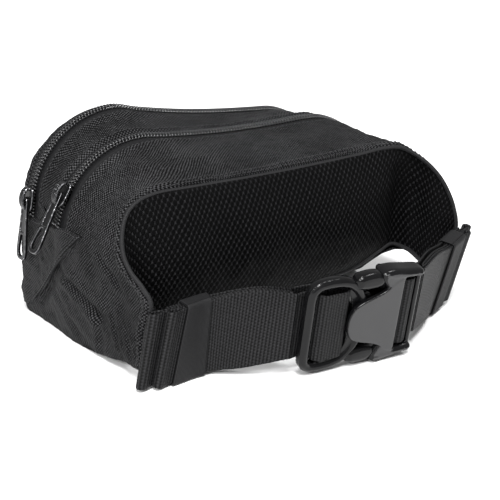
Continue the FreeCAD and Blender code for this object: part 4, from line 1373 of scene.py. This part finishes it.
def close_ends(piece):
    """Faces over both ends of a tube, so that it is a closed body."""
    mesh = bmesh.new()
    mesh.from_mesh(piece.data)
    bmesh.ops.remove_doubles(mesh, verts=mesh.verts, dist=1e-7)
    bmesh.ops.holes_fill(mesh, edges=[side for side in mesh.edges if side.is_boundary])
    mesh.to_mesh(piece.data)
    mesh.free()


def make_male():
    line = np.array(mirrored(FRAME_LINE)[::-1])
    line = spline(chord(line), line, np.linspace(0, 1, 160))
    line = line[np.argsort(np.arctan2(line[:, 1], FRAME_CENTRE - line[:, 0]))]
    path = buckle_point(line[:, 0], line[:, 1], np.zeros(len(line))) * MM
    bar = tube("bar", path, FRAME_RADIUS * MM, GLOSS, 16, (np.tile(BUCKLE_W, (len(path), 1)), FRAME_SQUEEZE))
    close_ends(bar)
    moulded("buckle_insert_frame", MALE_PARTS, "buckle_insert", "buckle_male", smooth=6, bars=[bar])
    for name, sign, side in (("upper", 1, list), ("lower", -1, flipped)):
        parts = [([side(shape) for shape in outlines], *depths) for outlines, *depths in PRONG_PARTS]
        arm = moulded("buckle_arm_" + name, parts, None, "buckle_prong_" + name, 0.3, 8)
        start, end = (tuple(buckle_point(u, sign * PRONG_HEIGHT, 0.0) * MM) for u in PRONG_BEND)
        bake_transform(arm)
        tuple(start)
        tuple(end)


def make_female():
    female = moulded("buckle_housing", FEMALE_PARTS, "pack", "buckle_female", smooth=9)
    female.data.materials.append(SATIN)
    for polygon in female.data.polygons:
        place = np.array(polygon.center) / MM - BUCKLE_ORIGIN
        if np.array(polygon.normal) @ BUCKLE_W > SATIN_FACING and place @ BUCKLE_W > SATIN_DEPTH:
            polygon.material_index = 1


class Place:
    """Own directions of a small part: along, across and out."""

    def __init__(self, origin, along, across):
        self.origin, self.along = np.asarray(origin, float), np.asarray(along, float)
        self.across = np.asarray(across, float)
        self.out = np.cross(self.along, self.across)

    def point(self, a, b, c):
        a, b, c = (np.asarray(value, float)[..., None] for value in (a, b, c))
        return self.origin + self.along * a + self.across * b + self.out * c


# shoulder arc of each zip: centre across and up, radius, and the slider's angle on it
ARCS = {"main": ((54.0, 55.0), 52.0, MAIN_ZIP_Y, 31.0), "front": ((47.0, 62.0), 52.0, FRONT_ZIP_Y, 8.0)}
SLIDER_PLATE = [
    (-7.0, 0), (-6.6, 3.2), (-4.6, 5.0), (-1.0, 5.4), (2.6, 5.6), (5.6, 5.2), (6.8, 3.4), (6.6, 1.6),
    (5.2, 0),
]
PULLER_EDGE = [
    (0, 0), (0.2, 2.1), (1.8, 3.1), (6, 3.1), (16, 3.7), (27, 4.9), (32, 5.3), (35, 4.2), (36, 2.0),
    (36, 0),
]
PULLER_LOOP = [
    (21.5, 0), (21.6, 2.1), (26, 2.8), (31.4, 3.5), (33.4, 2.5), (34.0, 1.0), (34.0, 0),
]
PULLER_EYE = [
    (1.5, 0), (1.7, 1.0), (2.8, 1.3), (4.4, 1.2), (4.9, 0.6), (4.9, 0),
]
PULLER_PANEL = [
    (7.2, 0), (7.3, 1.7), (8, 1.9), (14, 2.2), (19.5, 2.6), (20.2, 2.0), (20.2, 0),
]
SLIDER_WEDGE = [(3.6, 0), (4.2, 1.0), (6.0, 0.9), (6.3, 0)]
ARCH_HALF, ARCH_FOOT, ARCH_RISE, ARCH_RADIUS, ARCH_SPREAD = 6.0, 2.4, 4.0, 0.95, (-1.5, 0.0, 1.5)


def slider_place(name):
    centre, radius, depth, angle = ARCS[name]
    turned = math.radians(angle)
    out = np.array([math.cos(turned), 0, math.sin(turned)])
    along = np.array([-math.sin(turned), 0, math.cos(turned)])
    return Place(np.array([centre[0], depth, centre[1]]) + out * radius, along, np.cross(out, along))


def puller_place(name):
    """Directions of the hanging puller, found from its own solid."""
    points = mesh_points(frame["nodes"][name + "_zip_puller"].data)
    middle = (points.min(axis=0) + points.max(axis=0)) / 2
    vectors = np.linalg.eigh(np.cov((points - points.mean(axis=0)).T))[1]
    along, across = vectors[:, 2], vectors[:, 1]
    along = along * -np.sign(along[2])
    across = across * np.sign(across[1])
    return Place(middle + along * ((points - middle) @ along).min(), along, across)


def make_puller(name):
    place = puller_place(name).point
    shapes = [mirrored(shape) for shape in (PULLER_EDGE, PULLER_EYE, PULLER_LOOP, PULLER_PANEL)]
    parts = [plate(shapes, -0.95, 0.95, 0.35, place), plate(shapes[-1:], -0.45, 0.45, 0.1, place)]
    piece = melt(name + "_puller_plate", parts, 0.16, 4, METAL)
    settle(piece, name + "_puller", "zip_metal", name + "_zip_puller")


def make_slider(name):
    place = slider_place(name).point
    shape = [mirrored(SLIDER_PLATE)]
    parts = [plate(shape, 1.7, 3.1, 0.45, place), plate(shape, -2.6, -1.4, 0.3, place),
             plate([mirrored(SLIDER_WEDGE)], -2.0, 2.2, 0.1, place)]
    turn = np.linspace(0, math.pi, 25)
    for sideways in ARCH_SPREAD:
        arch = place(-ARCH_HALF * np.cos(turn), sideways * np.sin(turn) ** 0.3,
                     ARCH_FOOT + ARCH_RISE * np.sin(turn) ** 0.8) * MM
        parts.append(tube("arch", arch, ARCH_RADIUS * MM, METAL, 10))
    piece = melt(name + "_slider_body", parts, 0.2, 5, METAL)
    settle(piece, name + "_slider", "zip_metal", name + "_zip_slider")


def make_hardware():
    make_male()
    make_female()
    for name in ARCS:
        make_slider(name)
        make_puller(name)
        make_stop(name + "_zip_stop")


make_pouch()
make_pad()
make_zip("main", MAIN_ZIP_Y, near_main, far_main)
make_zip("front", FRONT_ZIP_Y, near_front, far_front)
make_belt()
make_hardware()
settle(join("topstitching", thread_rows), "pack", "pack_cloth")
